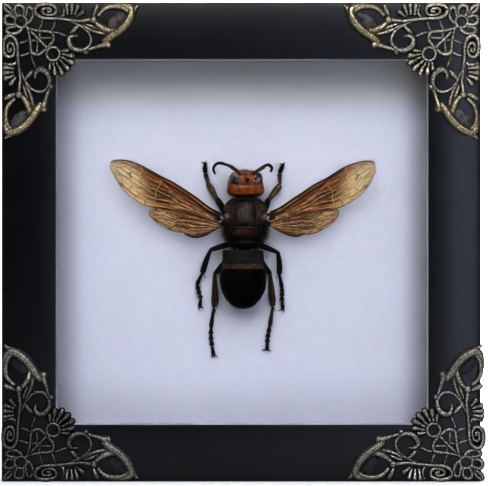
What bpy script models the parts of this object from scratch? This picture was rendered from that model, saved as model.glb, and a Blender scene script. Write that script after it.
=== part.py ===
"""Framed giant hornet: a black box frame with four bronze filigree corners.

X runs to the right, Z runs up and the glazed front faces -Y.  The origin is
the middle of the underside, on which the frame stands.  Lengths are in
millimetres up to the helpers, which hand metres to Blender.
"""

import math

import bmesh
import bpy
from mathutils import Matrix, Vector

MM = 0.001

# Frame
FRAME_SIDE = 150.0
FRAME_DEPTH = 30.0
CROSS_RAIL = 17.7
SIDE_RAIL = 16.6
OPENING_SHIFT = 0.3
LIP_DEPTH = 3.0
LIP_WIDTH = 1.8
OUTER_ROUND = 0.8
INNER_ROUND = 0.4
MITRE_GAP = 0.15
FIT_GAP = 0.3

# Layers behind the lip, from the front
GLASS_THICK = 2.0
LINER_THICK = LIP_WIDTH - FIT_GAP
BACKING_THICK = 2.0
PANEL_THICK = 3.5
PANEL_BACK = 29.4

# Fittings on the back
BUTTON_LENGTH = 22.0
BUTTON_WIDTH = 8.0
BUTTON_THICK = 1.0
SCREW_HEAD_R = 3.0
SCREW_HEAD_HEIGHT = 1.0
SCREW_SHANK_R = 1.2
SCREW_LENGTH = 8.0
HANGER_LENGTH = 46.0
HANGER_HEIGHT = 9.0
HANGER_TEETH = 9
HANGER_TOOTHED = 24.0
HANGER_TAPER = 7.5
NAIL_SPACING = 38.0
NAIL_HEAD_R = 2.0
NAIL_HEAD_HEIGHT = 0.8
NAIL_SHANK_R = 0.7
NAIL_LENGTH = 9.0
HOLE_CLEARANCE = 0.3
TOP_BUTTON_SHIFT = -40.0

# Filigree corners
CORNER_THICK = 1.5
CORNER_INSET = 0.4
LAST_CORNER_OVERHANG = 1.4

# Specimen
BODY_X = 1.2
BODY_Z = 73.4
HEAD_ROLL = 8.0
WING_THICK = 0.25
WING_DROOP = 1.0
FOREWING_HEIGHT = 6.6
HINDWING_HEIGHT = FOREWING_HEIGHT - WING_THICK - FIT_GAP

# Places worked out from the dimensions above
FRONT_Y = -FRAME_DEPTH / 2
BACK_Y = FRAME_DEPTH / 2
MIDDLE_Z = FRAME_SIDE / 2
LEFT_RAIL = SIDE_RAIL + OPENING_SHIFT
RIGHT_RAIL = SIDE_RAIL - OPENING_SHIFT
OPENING_WIDTH = FRAME_SIDE - LEFT_RAIL - RIGHT_RAIL
GLASS_FRONT = LIP_DEPTH + FIT_GAP
LINER_FRONT = GLASS_FRONT + GLASS_THICK + FIT_GAP
PANEL_FRONT = PANEL_BACK - PANEL_THICK
BACKING_FRONT = PANEL_FRONT - FIT_GAP - BACKING_THICK
LINER_DEPTH = BACKING_FRONT - FIT_GAP - LINER_FRONT
BACKING_Y = FRONT_Y + BACKING_FRONT
SHEET_MARGIN = LIP_WIDTH - FIT_GAP

# Turned outline of the abdomen: radius, and place along the body
ABDOMEN_OUTLINE = [
    (0.0, -0.3), (1.3, -0.4), (1.6, -0.9), (5.6, -1.3), (6.3, -2.0), (6.6, -5.0), (6.4, -5.2),
    (6.5, -6.4), (7.1, -6.7), (7.4, -9.3), (7.3, -11.6), (6.9, -13.2), (6.1, -15.0),
    (4.9, -17.0), (3.3, -18.6), (1.5, -19.4), (0.0, -19.6),
]
ABDOMEN_CENTRE = (-0.6, 6.5)
ABDOMEN_FLATNESS = 0.79

# Wing outlines: along the wing from its hinge, and towards its leading edge
FOREWING_OUTLINE = [
    (0.3, 0.7), (3.3, 0.5), (9.9, 1.6), (15.6, 2.6), (21.9, 3.1), (28.3, 3.5), (33.5, 3.4),
    (36.0, 2.7), (38.2, 1.5), (39.3, 0.2), (38.8, -1.0), (36.6, -2.8), (33.9, -4.6),
    (31.4, -5.8), (28.8, -6.7), (25.7, -7.4), (23.3, -7.5), (20.5, -7.0), (12.0, -4.5),
    (3.8, -2.3), (0.9, -2.1), (0.0, -1.1),
]
HINDWING_OUTLINE = [
    (0.2, 0.5), (1.9, 0.7), (5.0, 1.6), (10.0, 2.4), (15.4, 2.7), (20.5, 2.4), (22.9, 1.5),
    (23.9, 0.0), (22.8, -1.3), (20.7, -2.7), (18.2, -3.8), (16.0, -4.4), (14.3, -4.7),
    (12.7, -4.7), (11.8, -4.4), (10.5, -5.1), (9.0, -5.5), (6.9, -5.1), (4.7, -4.0),
    (3.3, -2.9), (1.2, -1.2), (0.1, -0.5),
]
# Each wing: outline, hinge, angle above level, stretch and height above the backing
WINGS = {
    "forewing_left": (FOREWING_OUTLINE, (-7.1, 10.0), 24.8, 1.0, FOREWING_HEIGHT),
    "forewing_right": (FOREWING_OUTLINE, (7.2, 10.3), 24.5, 0.965, FOREWING_HEIGHT),
    "hindwing_left": (HINDWING_OUTLINE, (-7.0, 6.9), 9.1, 1.0, HINDWING_HEIGHT),
    "hindwing_right": (HINDWING_OUTLINE, (7.2, 7.2), 8.6, 0.965, HINDWING_HEIGHT),
}

# Legs and antennae: across, along the body, height above the backing, radius
LEGS = {
    "foreleg_left": [
        (-6.2, 10.6, 1.4, 0.75), (-7.0, 12.1, 1.7, 0.95), (-8.5, 14.7, 2.3, 0.9),
        (-9.1, 15.3, 2.4, 0.55), (-10.6, 18.2, 2.1, 0.9), (-11.6, 20.0, 1.8, 0.75),
        (-12.0, 21.0, 1.6, 0.5), (-12.5, 23.1, 1.3, 0.5), (-12.6, 24.3, 1.0, 0.35),
        (-12.4, 26.3, 0.9, 0.4), (-12.7, 27.0, 0.8, 0.2),
    ],
    "foreleg_right": [
        (5.9, 10.8, 1.4, 0.75), (6.5, 12.4, 1.7, 0.95), (7.4, 14.7, 2.3, 0.85),
        (7.8, 15.2, 2.4, 0.55), (9.6, 17.6, 2.1, 0.9), (11.1, 19.4, 1.8, 0.75),
        (11.1, 20.4, 1.6, 0.5), (10.9, 22.9, 1.3, 0.5), (11.2, 23.9, 1.0, 0.35),
        (12.0, 26.1, 0.9, 0.4), (11.3, 26.7, 0.8, 0.2),
    ],
    "midleg_left": [
        (-4.0, 1.4, 1.8, 0.7), (-4.8, 0.8, 2.2, 0.85), (-8.0, 0.0, 3.1, 0.8),
        (-11.0, -1.0, 3.6, 0.6), (-11.4, -1.9, 3.4, 0.5), (-12.4, -4.7, 2.7, 0.65),
        (-13.5, -8.0, 1.9, 0.55), (-14.2, -9.8, 1.6, 0.35), (-15.1, -11.7, 1.3, 0.42),
        (-15.0, -13.2, 1.1, 0.35), (-14.3, -15.2, 0.9, 0.38), (-14.4, -18.0, 0.8, 0.35),
        (-13.2, -19.4, 0.7, 0.18),
    ],
    "midleg_right": [
        (3.9, 1.4, 1.8, 0.7), (4.6, 0.7, 2.2, 0.85), (7.4, -0.4, 3.1, 0.8),
        (10.3, -1.1, 3.6, 0.6), (10.7, -2.1, 3.4, 0.5), (11.0, -5.2, 2.7, 0.68),
        (10.9, -8.5, 1.9, 0.55), (11.3, -10.4, 1.6, 0.38), (11.7, -13.0, 1.2, 0.42),
        (11.7, -14.9, 1.0, 0.35), (11.7, -17.7, 0.8, 0.38), (12.0, -19.8, 0.8, 0.35),
        (10.7, -20.3, 0.7, 0.18),
    ],
    "hindleg_left": [
        (-2.0, 1.2, 1.1, 0.6), (-3.4, -1.4, 1.0, 0.65), (-7.3, -6.1, 1.4, 0.85),
        (-9.5, -8.2, 2.2, 0.75), (-9.7, -9.2, 2.2, 0.6), (-9.4, -13.0, 1.9, 0.75),
        (-9.4, -16.7, 1.6, 0.9), (-9.9, -18.9, 1.3, 0.6), (-10.1, -20.6, 1.1, 0.42),
        (-10.7, -25.4, 0.9, 0.5), (-10.6, -28.0, 0.8, 0.38), (-10.6, -29.9, 0.8, 0.42),
        (-10.3, -31.8, 0.7, 0.38), (-9.7, -34.3, 0.7, 0.35),
    ],
    "hindleg_right": [
        (2.0, 1.2, 1.1, 0.6), (3.2, -1.4, 1.0, 0.65), (5.9, -5.6, 1.3, 0.85),
        (8.0, -8.0, 2.2, 0.75), (8.3, -9.0, 2.2, 0.58), (8.3, -12.6, 1.9, 0.75),
        (8.5, -16.4, 1.6, 0.95), (8.8, -18.6, 1.3, 0.6), (8.8, -20.2, 1.1, 0.42),
        (8.0, -25.1, 0.9, 0.48), (7.6, -27.4, 0.8, 0.38), (7.5, -28.8, 0.8, 0.42),
        (7.1, -30.6, 0.7, 0.38), (7.0, -32.5, 0.7, 0.35),
    ],
}
ANTENNAE = {
    "antenna_left": [
        (-1.2, 22.8, 9.0, 0.32), (-2.7, 24.2, 8.9, 0.40), (-4.3, 25.3, 8.6, 0.44),
        (-5.4, 25.8, 8.4, 0.34), (-7.3, 26.4, 8.0, 0.38), (-8.6, 26.4, 7.7, 0.34),
        (-9.6, 25.6, 7.5, 0.32), (-9.95, 24.4, 7.3, 0.28), (-9.4, 22.9, 7.2, 0.18),
    ],
    "antenna_right": [
        (2.2, 23.1, 8.9, 0.32), (3.9, 24.1, 8.8, 0.40), (5.7, 25.1, 8.5, 0.44),
        (6.5, 25.7, 8.2, 0.34), (7.4, 25.9, 7.7, 0.38), (8.3, 25.3, 7.1, 0.34),
        (8.5, 24.6, 6.7, 0.28), (8.0, 23.7, 6.3, 0.18),
    ],
}

# Half of a corner casting, as (across an arm, along the arm) from its outer corner.
# The other half is the same with the two swapped.
SHELL_CENTRE = 15.7
SHELL_LOBES = 3
SHELL_SPREAD = 49.0
SHELL_RADIUS = 8.0
SHELL_VALLEY = 7.1
ARM_INNER_EDGE = [
    (15.3, 23.2), (15.3, 24.5), (16.0, 25.5), (15.7, 26.5), (14.5, 27.1), (14.0, 29.6),
    (13.2, 31.2), (13.9, 32.3), (13.4, 33.7), (12.1, 33.7), (10.3, 36.5), (8.0, 39.1),
    (5.7, 40.9), (2.7, 41.8), (1.0, 42.2), (0.2, 42.8),
]
ARM_OUTER_EDGE = [
    (0.0, 40.5), (0.3, 36.0), (0.5, 33.0), (1.4, 31.0), (0.0, 31.3), (0.0, 30.4), (2.3, 28.9),
    (3.7, 28.4), (4.3, 27.4), (4.7, 24.6), (3.9, 23.6), (2.6, 25.9), (1.9, 25.3), (2.2, 23.7),
    (0.3, 24.4), (0.3, 23.4), (2.0, 22.3), (0.1, 21.5), (0.2, 20.5), (2.2, 20.7), (0.2, 19.7),
    (0.4, 18.7), (2.4, 18.6), (0.0, 17.8), (0.9, 16.5), (0.0, 14.6), (0.1, 12.0), (1.2, 10.2),
    (2.3, 9.4), (1.4, 8.8), (0.8, 7.9), (1.2, 6.6), (2.2, 6.1), (0.9, 5.5), (0.4, 4.6),
    (1.0, 3.6), (2.4, 3.2), (1.0, 1.6), (0.2, 0.2),
]
ARM_HOLES = [
    [(1.3, 36.0), (1.5, 33.2), (2.8, 31.3), (4.4, 30.7), (5.6, 32.2), (7.3, 35.0), (7.0, 36.9),
     (5.2, 38.8), (3.5, 39.3), (1.9, 38.2)],
    [(10.1, 28.9), (12.6, 28.4), (12.9, 29.7), (11.6, 31.5), (10.3, 31.9)],
    [(5.9, 18.6), (8.3, 18.8), (9.2, 20.5), (8.5, 22.2), (7.2, 22.2), (5.9, 20.4)],
    [(4.2, 9.5), (5.8, 8.8), (6.8, 9.2), (7.0, 11.2), (5.2, 11.8), (4.3, 10.8)],
    [(5.3, 12.8), (7.3, 12.4), (7.8, 13.6), (7.8, 15.2), (5.7, 15.9), (5.3, 14.4)],
    [(7.8, 9.2), (10.2, 11.2), (7.9, 11.6)],
    [(8.1, 12.4), (10.2, 11.9), (10.2, 15.5), (8.9, 15.2), (8.6, 13.6)],
    [(11.1, 12.0), (11.9, 12.4), (12.6, 13.6), (11.6, 15.2), (11.1, 15.5)],
    [(1.2, 13.2), (1.7, 11.5), (2.6, 11.1), (3.4, 12.2), (3.3, 14.6), (2.4, 15.7), (1.5, 15.0)],
]
ROUND_HOLES = [((5.6, 5.6), 1.5), ((SHELL_CENTRE, SHELL_CENTRE), 1.6)]
SCROLL_HOLE = ((11.7, 24.6), 2.2)

COLOURS = {
    "black_paint": ((0.012, 0.012, 0.016), 0.42, 0.0),
    "clear_glass": ((0.90, 0.95, 0.94), 0.02, 0.0),
    "pale_card": ((0.72, 0.72, 0.78), 0.85, 0.0),
    "brown_board": ((0.30, 0.20, 0.12), 0.80, 0.0),
    "zinc_steel": ((0.55, 0.55, 0.53), 0.35, 1.0),
    "aged_bronze": ((0.32, 0.26, 0.15), 0.38, 1.0),
    "head_shell": ((0.36, 0.10, 0.025), 0.35, 0.0),
    "dark_shell": ((0.025, 0.018, 0.014), 0.38, 0.0),
    "leg_shell": ((0.045, 0.025, 0.014), 0.40, 0.0),
    "wing_membrane": ((0.36, 0.17, 0.05), 0.35, 0.0),
}


def clear_scene():
    for item in list(bpy.data.objects):
        bpy.data.objects.remove(item, do_unlink=True)


def new_collection(name):
    collection = bpy.data.collections.new(name)
    bpy.context.scene.collection.children.link(collection)
    return collection


def make_materials():
    made = {}
    for name, (colour, roughness, metallic) in COLOURS.items():
        material = bpy.data.materials.new(name)
        material.use_nodes = True
        shader = material.node_tree.nodes["Principled BSDF"]
        shader.inputs["Base Color"].default_value = (*colour, 1.0)
        shader.inputs["Roughness"].default_value = roughness
        shader.inputs["Metallic"].default_value = metallic
        made[name] = material
    return made


def add_object(name, data, material=None):
    """A part, or a cutter when it is given no material."""
    item = bpy.data.objects.new(name, data)
    if material:
        data.materials.append(MATERIALS[material])
        PARTS.objects.link(item)
    else:
        CUTTERS.objects.link(item)
        item.hide_render = True
        item.display_type = "WIRE"
    return item


def finish_mesh(name, bm, material=None, round_shape=False):
    """Turn millimetres into metres and make the object."""
    bmesh.ops.scale(bm, vec=(MM, MM, MM), verts=bm.verts)
    bmesh.ops.recalc_face_normals(bm, faces=bm.faces)
    mesh = bpy.data.meshes.new(name)
    bm.to_mesh(mesh)
    bm.free()
    if round_shape:
        mesh.shade_smooth()
        mesh.set_sharp_from_angle(angle=math.radians(40))
    return add_object(name, mesh, material)


def box(name, low, high, material):
    size = Vector(high) - Vector(low)
    middle = (Vector(high) + Vector(low)) / 2
    bm = bmesh.new()
    place = Matrix.Translation(middle) @ Matrix.Diagonal((*size, 1.0))
    bmesh.ops.create_cube(bm, size=1.0, matrix=place)
    return finish_mesh(name, bm, material)


def modify(item, kind, **settings):
    modifier = item.modifiers.new(kind.title(), kind)
    for key, value in settings.items():
        setattr(modifier, key, value)
    return modifier


def cut(item, cutter):
    modify(item, "BOOLEAN", operation="DIFFERENCE", solver="EXACT", object=cutter)


def join(item, other):
    modify(item, "BOOLEAN", operation="UNION", solver="EXACT", object=other)


def outline_sheet(name, outlines, thick, place, material):
    """A flat sheet with holes, drawn in millimetres in local XY; place turns it upright."""
    curve = bpy.data.curves.new(name, "CURVE")
    curve.dimensions = "2D"
    curve.fill_mode = "BOTH"
    curve.extrude = thick / 2
    for outline in outlines:
        spline = curve.splines.new("POLY")
        spline.points.add(len(outline) - 1)
        spline.use_cyclic_u = True
        for point, (x, y) in zip(spline.points, outline):
            point.co = (x, y, 0.0, 1.0)
    drawing = bpy.data.objects.new(name + "_drawing", curve)
    CUTTERS.objects.link(drawing)
    evaluated = drawing.evaluated_get(bpy.context.evaluated_depsgraph_get())
    bm = bmesh.new()
    bm.from_mesh(bpy.data.meshes.new_from_object(evaluated))
    bpy.data.objects.remove(drawing, do_unlink=True)
    bmesh.ops.remove_doubles(bm, verts=bm.verts, dist=0.001)
    item = finish_mesh(name, bm, material)
    item.matrix_world = place
    return item


def tapered_tube(name, points, material):
    """A limb: its radius changes from point to point."""
    curve = bpy.data.curves.new(name, "CURVE")
    curve.dimensions = "3D"
    curve.bevel_depth = MM
    curve.bevel_resolution = 1
    curve.use_fill_caps = True
    curve.resolution_u = 1
    curve.render_resolution_u = 0
    spline = curve.splines.new("POLY")
    spline.points.add(len(points) - 1)
    for point, (across, along, height, radius) in zip(spline.points, points):
        point.co = (*body_point(across, along, height), 1.0)
        point.radius = radius
    return add_object(name, curve, material)


def turned(name, profile, steps, place, material):
    """A profile of (radius, height) turned about its local Z."""
    mesh = bpy.data.meshes.new(name)
    points = [(radius * MM, 0.0, height * MM) for radius, height in profile]
    mesh.from_pydata(points, [(i, i + 1) for i in range(len(points) - 1)], [])
    item = add_object(name, mesh, material)
    modify(item, "SCREW", steps=steps, render_steps=steps, use_merge_vertices=True,
           merge_threshold=0.00001, use_smooth_shade=True)
    item.matrix_world = place
    return item


def upright(x, y, z):
    """A sheet drawn in XY stands up in XZ, its local Z towards the front."""
    return Matrix.Translation(Vector((x, y, z)) * MM) @ Matrix.Rotation(math.pi / 2, 4, "X")


def ring(centre, radius, count):
    return [(centre[0] + radius * math.cos(math.tau * i / count),
             centre[1] + radius * math.sin(math.tau * i / count)) for i in range(count)]


def arc(centre, radius, start, end, count):
    turn = math.radians(end - start) / (count - 1)
    angles = [math.radians(start) + turn * i for i in range(count)]
    return [(centre[0] + radius * math.cos(a), centre[1] + radius * math.sin(a)) for a in angles]


def rail_profile(width):
    """Section of a rail: (distance from the outer edge, depth from the front)."""
    outer = arc((OUTER_ROUND, OUTER_ROUND), OUTER_ROUND, 180, 270, 4)
    inner = arc((width - INNER_ROUND, INNER_ROUND), INNER_ROUND, 270, 360, 3)
    rebate = [(width, LIP_DEPTH), (width - LIP_WIDTH, LIP_DEPTH), (width - LIP_WIDTH, FRAME_DEPTH)]
    return outer + inner + rebate + [(0.0, FRAME_DEPTH)]


def rail(name, width, first_neighbour, last_neighbour, turn):
    """The bottom rail's section, mitred at both ends and turned to its own side."""
    bm = bmesh.new()
    section = [bm.verts.new((0.0, FRONT_Y + depth, across)) for across, depth in rail_profile(width)]
    face = bm.faces.new(section)
    ends = bmesh.ops.extrude_face_region(bm, geom=[face])
    far = [v for v in ends["geom"] if isinstance(v, bmesh.types.BMVert)]
    for verts, side, neighbour in ((section, -1, first_neighbour), (far, 1, last_neighbour)):
        for vert in verts:
            inset = vert.co.z * neighbour / width + MITRE_GAP
            vert.co.x = side * (FRAME_SIDE / 2 - inset)
    centre = Vector((0.0, 0.0, MIDDLE_Z))
    bmesh.ops.rotate(bm, cent=centre, matrix=Matrix.Rotation(math.radians(turn), 3, "Y"), verts=bm.verts)
    return finish_mesh(name, bm, "black_paint", round_shape=True)


def make_rails():
    return {
        "bottom": rail("rail_bottom", CROSS_RAIL, LEFT_RAIL, RIGHT_RAIL, 0),
        "left": rail("rail_left", LEFT_RAIL, CROSS_RAIL, CROSS_RAIL, 90),
        "top": rail("rail_top", CROSS_RAIL, RIGHT_RAIL, LEFT_RAIL, 180),
        "right": rail("rail_right", RIGHT_RAIL, CROSS_RAIL, CROSS_RAIL, 270),
    }


def sheet_between(name, front_depth, thick, margin, material):
    """A sheet behind the opening, wider than it by the margin on each side."""
    low = (OPENING_SHIFT - OPENING_WIDTH / 2 - margin, FRONT_Y + front_depth, CROSS_RAIL - margin)
    high = (OPENING_SHIFT + OPENING_WIDTH / 2 + margin, FRONT_Y + front_depth + thick,
            FRAME_SIDE - CROSS_RAIL + margin)
    box(name, low, high, material)


def make_liners():
    """Four pale card strips hold the glass forward and flush with the lip."""
    left = OPENING_SHIFT - OPENING_WIDTH / 2
    right = OPENING_SHIFT + OPENING_WIDTH / 2
    bottom = CROSS_RAIL
    top = FRAME_SIDE - CROSS_RAIL
    front = FRONT_Y + LINER_FRONT
    back = front + LINER_DEPTH
    far_left = left - LINER_THICK
    far_right = right + LINER_THICK
    box("liner_bottom", (far_left, front, bottom - LINER_THICK), (far_right, back, bottom), "pale_card")
    box("liner_top", (far_left, front, top), (far_right, back, top + LINER_THICK), "pale_card")
    low = bottom + FIT_GAP
    high = top - FIT_GAP
    box("liner_left", (far_left, front, low), (left, back, high), "pale_card")
    box("liner_right", (right, front, low), (far_right, back, high), "pale_card")


def facing_back(x, z, y):
    """Local Z towards the wall, local Y up."""
    turn = Matrix.Rotation(math.pi, 4, "Z") @ Matrix.Rotation(math.pi / 2, 4, "X")
    return Matrix.Translation(Vector((x, y, z)) * MM) @ turn


def pin_profile(head_r, head_h, shank_r, length):
    """Domed head and plain shank, the head's underside at zero."""
    return [(0.0, head_h), (head_r * 0.7, head_h * 0.8), (head_r, 0.0), (shank_r, 0.0),
            (shank_r, -length), (0.0, -length)]


def pilot_hole(rail_item, x, z, radius, depth):
    """A hole in a rail's back for a screw or a nail."""
    bm = bmesh.new()
    place = Matrix.Translation((x, BACK_Y, z)) @ Matrix.Rotation(math.pi / 2, 4, "X")
    bmesh.ops.create_cone(bm, cap_ends=True, segments=10, radius1=radius, radius2=radius,
                          depth=2 * depth, matrix=place)
    cut(rail_item, finish_mesh("pilot_cutter", bm))


def make_turn_buttons(rails):
    """One oval button on each rail, its long end over the panel."""
    half = BUTTON_LENGTH / 2 - BUTTON_WIDTH / 2
    hole_x = -0.6 * half
    outline = (arc((half, 0), BUTTON_WIDTH / 2, -90, 90, 7)
               + arc((-half, 0), BUTTON_WIDTH / 2, 90, 270, 7))
    hole = ring((hole_x, 0.0), SCREW_SHANK_R + HOLE_CLEARANCE, 8)
    plate_y = BACK_Y + FIT_GAP + BUTTON_THICK / 2
    head_y = BACK_Y + 2 * FIT_GAP + BUTTON_THICK
    for side, out_x, out_z, width, along in (
            ("bottom", 0, -1, CROSS_RAIL, 0.0), ("left", -1, 0, LEFT_RAIL, 0.0),
            ("top", 0, 1, CROSS_RAIL, TOP_BUTTON_SHIFT), ("right", 1, 0, RIGHT_RAIL, 0.0)):
        middle = MIDDLE_Z - (width - LIP_WIDTH) / 2
        x = out_x * middle + along
        z = MIDDLE_Z + out_z * middle
        inward = Matrix.Rotation(math.atan2(-out_z, out_x), 4, "Z")
        place = facing_back(x, z, plate_y) @ inward @ Matrix.Translation((-hole_x * MM, 0, 0))
        outline_sheet(f"turn_button_{side}", [outline, hole], BUTTON_THICK, place, "zinc_steel")
        screw = pin_profile(SCREW_HEAD_R, SCREW_HEAD_HEIGHT, SCREW_SHANK_R, SCREW_LENGTH)
        turned(f"turn_button_screw_{side}", screw, 8, facing_back(x, z, head_y), "zinc_steel")
        pilot_hole(rails[side], x, z, SCREW_SHANK_R + HOLE_CLEARANCE, SCREW_LENGTH)


def make_hanger(rails):
    """A toothed strip nailed across the top rail's back."""
    z = FRAME_SIDE - (CROSS_RAIL - LIP_WIDTH) / 2
    half_l = HANGER_LENGTH / 2
    half_h = HANGER_HEIGHT / 2
    shoulder = half_l - HANGER_TAPER
    start = -HANGER_TOOTHED / 2
    tooth = HANGER_TOOTHED / HANGER_TEETH
    teeth = []
    for i in range(HANGER_TEETH):
        teeth.append((start + i * tooth, -half_h * 0.4))
        teeth.append((start + (i + 0.5) * tooth, -half_h * 0.85))
    teeth.append((-start, -half_h * 0.4))
    left_end = [(-half_l, half_h * 0.5), (-half_l, -half_h * 0.5), (-shoulder, -half_h)]
    right_end = [(shoulder, -half_h), (half_l, -half_h * 0.5), (half_l, half_h * 0.5)]
    outline = left_end + teeth + right_end + [(shoulder, half_h), (-shoulder, half_h)]
    holes = [ring((side * NAIL_SPACING / 2, 0.0), NAIL_SHANK_R + HOLE_CLEARANCE, 8) for side in (-1, 1)]
    plate_y = BACK_Y + FIT_GAP + BUTTON_THICK / 2
    outline_sheet("hanger_strip", [outline] + holes, BUTTON_THICK, facing_back(0, z, plate_y), "zinc_steel")
    head_y = BACK_Y + 2 * FIT_GAP + BUTTON_THICK
    for name, side in (("hanger_nail_left", -1), ("hanger_nail_right", 1)):
        x = side * NAIL_SPACING / 2
        nail = pin_profile(NAIL_HEAD_R, NAIL_HEAD_HEIGHT, NAIL_SHANK_R, NAIL_LENGTH)
        turned(name, nail, 8, facing_back(x, z, head_y), "zinc_steel")
        pilot_hole(rails["top"], x, z, NAIL_SHANK_R + HOLE_CLEARANCE, NAIL_LENGTH)


def shell_edge():
    """Scalloped fan from its middle round to one side."""
    points = []
    step = SHELL_SPREAD / SHELL_LOBES
    for lobe in range(SHELL_LOBES):
        for share, radius in ((0.0, SHELL_VALLEY), (0.25, SHELL_RADIUS - 0.2), (0.5, SHELL_RADIUS),
                              (0.75, SHELL_RADIUS - 0.2)):
            angle = math.radians(45 + step * (lobe + share))
            points.append((SHELL_CENTRE + radius * math.cos(angle), SHELL_CENTRE + radius * math.sin(angle)))
    return points


def corner_outlines():
    """Outer outline and holes of a casting, its corner at zero and its arms along +X and +Y."""
    half = shell_edge() + ARM_INNER_EDGE + ARM_OUTER_EDGE
    swapped = [(along, across) for across, along in reversed(half[1:-1])]
    outlines = [half + swapped]
    scroll_centre, scroll_radius = SCROLL_HOLE
    side_holes = ARM_HOLES + [ring(scroll_centre, scroll_radius, 8)]
    for hole in side_holes:
        outlines.append(hole)
        outlines.append([(along, across) for across, along in hole])
    outlines += [ring(centre, radius, 8) for centre, radius in ROUND_HOLES]
    return outlines


def make_corners():
    """The same casting four times, turned a quarter each time."""
    outlines = corner_outlines()
    half = FRAME_SIDE / 2 - CORNER_INSET
    y = FRONT_Y - FIT_GAP - CORNER_THICK / 2
    for name, across, up, angle, overhang in (
            ("corner_bottom_left", -1, -1, 0, 0.0),
            ("corner_bottom_right", 1, -1, 90, LAST_CORNER_OVERHANG),
            ("corner_top_right", 1, 1, 180, 0.0),
            ("corner_top_left", -1, 1, 270, 0.0)):
        place = upright(across * half + overhang, y, MIDDLE_Z + up * half)
        place = place @ Matrix.Rotation(math.radians(angle), 4, "Z")
        outline_sheet(name, outlines, CORNER_THICK, place, "aged_bronze")


def body_point(across, along, height):
    """A place on the specimen in metres; height is above the backing."""
    return Vector((BODY_X + across, BACKING_Y - FIT_GAP - height, BODY_Z + along)) * MM


def rounded_body(name, centre, half_size, power, taper, segments, rings, material=None, roll=0.0):
    """A rounded block, wider at its rear when the taper is negative."""
    bm = bmesh.new()
    bmesh.ops.create_uvsphere(bm, u_segments=segments, v_segments=rings, radius=1.0)
    for vert in bm.verts:
        length = sum(abs(value) ** power for value in vert.co) ** (1.0 / power)
        vert.co /= length
        vert.co.x *= 1.0 + taper * vert.co.z
    across, height, along = half_size
    bmesh.ops.scale(bm, vec=(across, height, along), verts=bm.verts)
    turn = Matrix.Rotation(math.radians(roll), 4, "Z")
    place = Matrix.Translation(body_point(*centre) / MM) @ turn
    bmesh.ops.transform(bm, matrix=place, verts=bm.verts)
    return finish_mesh(name, bm, material, round_shape=True)


def make_head():
    """Head capsule with its two eyes, the face plate and the jaws."""
    middle = (0.1, 20.0, 4.9)
    head = rounded_body("head", middle, (5.2, 4.3, 4.25), 2.7, -0.09, 16, 10, "head_shell", HEAD_ROLL)
    turn = Matrix.Rotation(math.radians(HEAD_ROLL), 3, "Z")
    bumps = [((side * 3.6, -1.0, 1.2), (1.7, 2.9, 2.2)) for side in (-1, 1)]
    bumps += [((side * 1.4, 3.2, 0.9), (1.5, 1.5, 1.9)) for side in (-1, 1)]
    for (across, deeper, along), half_size in bumps:
        offset = turn @ Vector((across, deeper, along))
        place = (middle[0] + offset.x, middle[1] + offset.z, middle[2] - offset.y)
        join(head, rounded_body("head_bump", place, half_size, 2.0, 0.0, 10, 6))


def make_thorax():
    """Domed thorax with the wing-base plates and the raised plate behind the dome."""
    middle = 0.1
    thorax = rounded_body("thorax", (middle, 7.75, 5.6), (6.35, 5.2, 7.6), 2.6, 0.03, 16, 12, "dark_shell")
    join(thorax, rounded_body("thorax_dome", (middle, 10.2, 8.2), (4.1, 3.4, 4.9), 2.3, 0.0, 12, 8))
    join(thorax, rounded_body("thorax_plate", (middle, 4.6, 8.7), (3.9, 1.7, 1.7), 2.4, 0.0, 10, 6))
    for side in (-1, 1):
        place = (middle + side * 6.0, 9.8, 7.9)
        join(thorax, rounded_body("wing_base_plate", place, (1.2, 0.85, 1.6), 2.0, 0.0, 8, 6))


def make_abdomen():
    centre_x, centre_height = ABDOMEN_CENTRE
    place = Matrix.Translation(body_point(centre_x, 0.0, centre_height))
    flatten = Matrix.Diagonal((1.0, ABDOMEN_FLATNESS, 1.0, 1.0))
    turned("abdomen", ABDOMEN_OUTLINE, 20, place @ flatten, "dark_shell")


def make_wings():
    for name, (outline, hinge, angle, stretch, height) in WINGS.items():
        side = -1 if hinge[0] < 0 else 1
        turn = math.radians(angle)
        points = []
        for out, lead in outline:
            across = out * stretch * math.cos(turn) - lead * math.sin(turn)
            along = out * stretch * math.sin(turn) + lead * math.cos(turn)
            points.append((side * across, along))
        place = Matrix.Translation(body_point(*hinge, height))
        droop = Matrix.Rotation(math.radians(side * WING_DROOP), 4, "Z")
        outline_sheet(name, [points], WING_THICK, place @ droop @ Matrix.Rotation(math.pi / 2, 4, "X"),
                      "wing_membrane")


def make_specimen():
    make_head()
    make_thorax()
    make_abdomen()
    make_wings()
    for name, points in LEGS.items():
        tapered_tube(name, points, "leg_shell")
    for name, points in ANTENNAE.items():
        tapered_tube(name, points, "dark_shell")


def build():
    rails = make_rails()
    sheet_between("glass_pane", GLASS_FRONT, GLASS_THICK, SHEET_MARGIN, "clear_glass")
    make_liners()
    sheet_between("backing_board", BACKING_FRONT, BACKING_THICK, SHEET_MARGIN, "pale_card")
    sheet_between("back_panel", PANEL_FRONT, PANEL_THICK, SHEET_MARGIN, "brown_board")
    make_turn_buttons(rails)
    make_hanger(rails)
    make_corners()
    make_specimen()


clear_scene()
PARTS = new_collection("framed_hornet")
CUTTERS = new_collection("cutters")
MATERIALS = make_materials()
build()
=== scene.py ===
"""Look of the framed giant hornet: black box frame, bronze filigree corners, dried specimen.

X runs to the right, Z up and the glazed front faces -Y. Shapes are drawn in millimetres,
flat in local X and Y with local Z towards the front, and stood upright at the end.
Places in the materials are in metres, but the heights given to Look.level are in millimetres.
"""

import math
import random

import bmesh
import bpy
from mathutils import Matrix, Vector, noise


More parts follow.
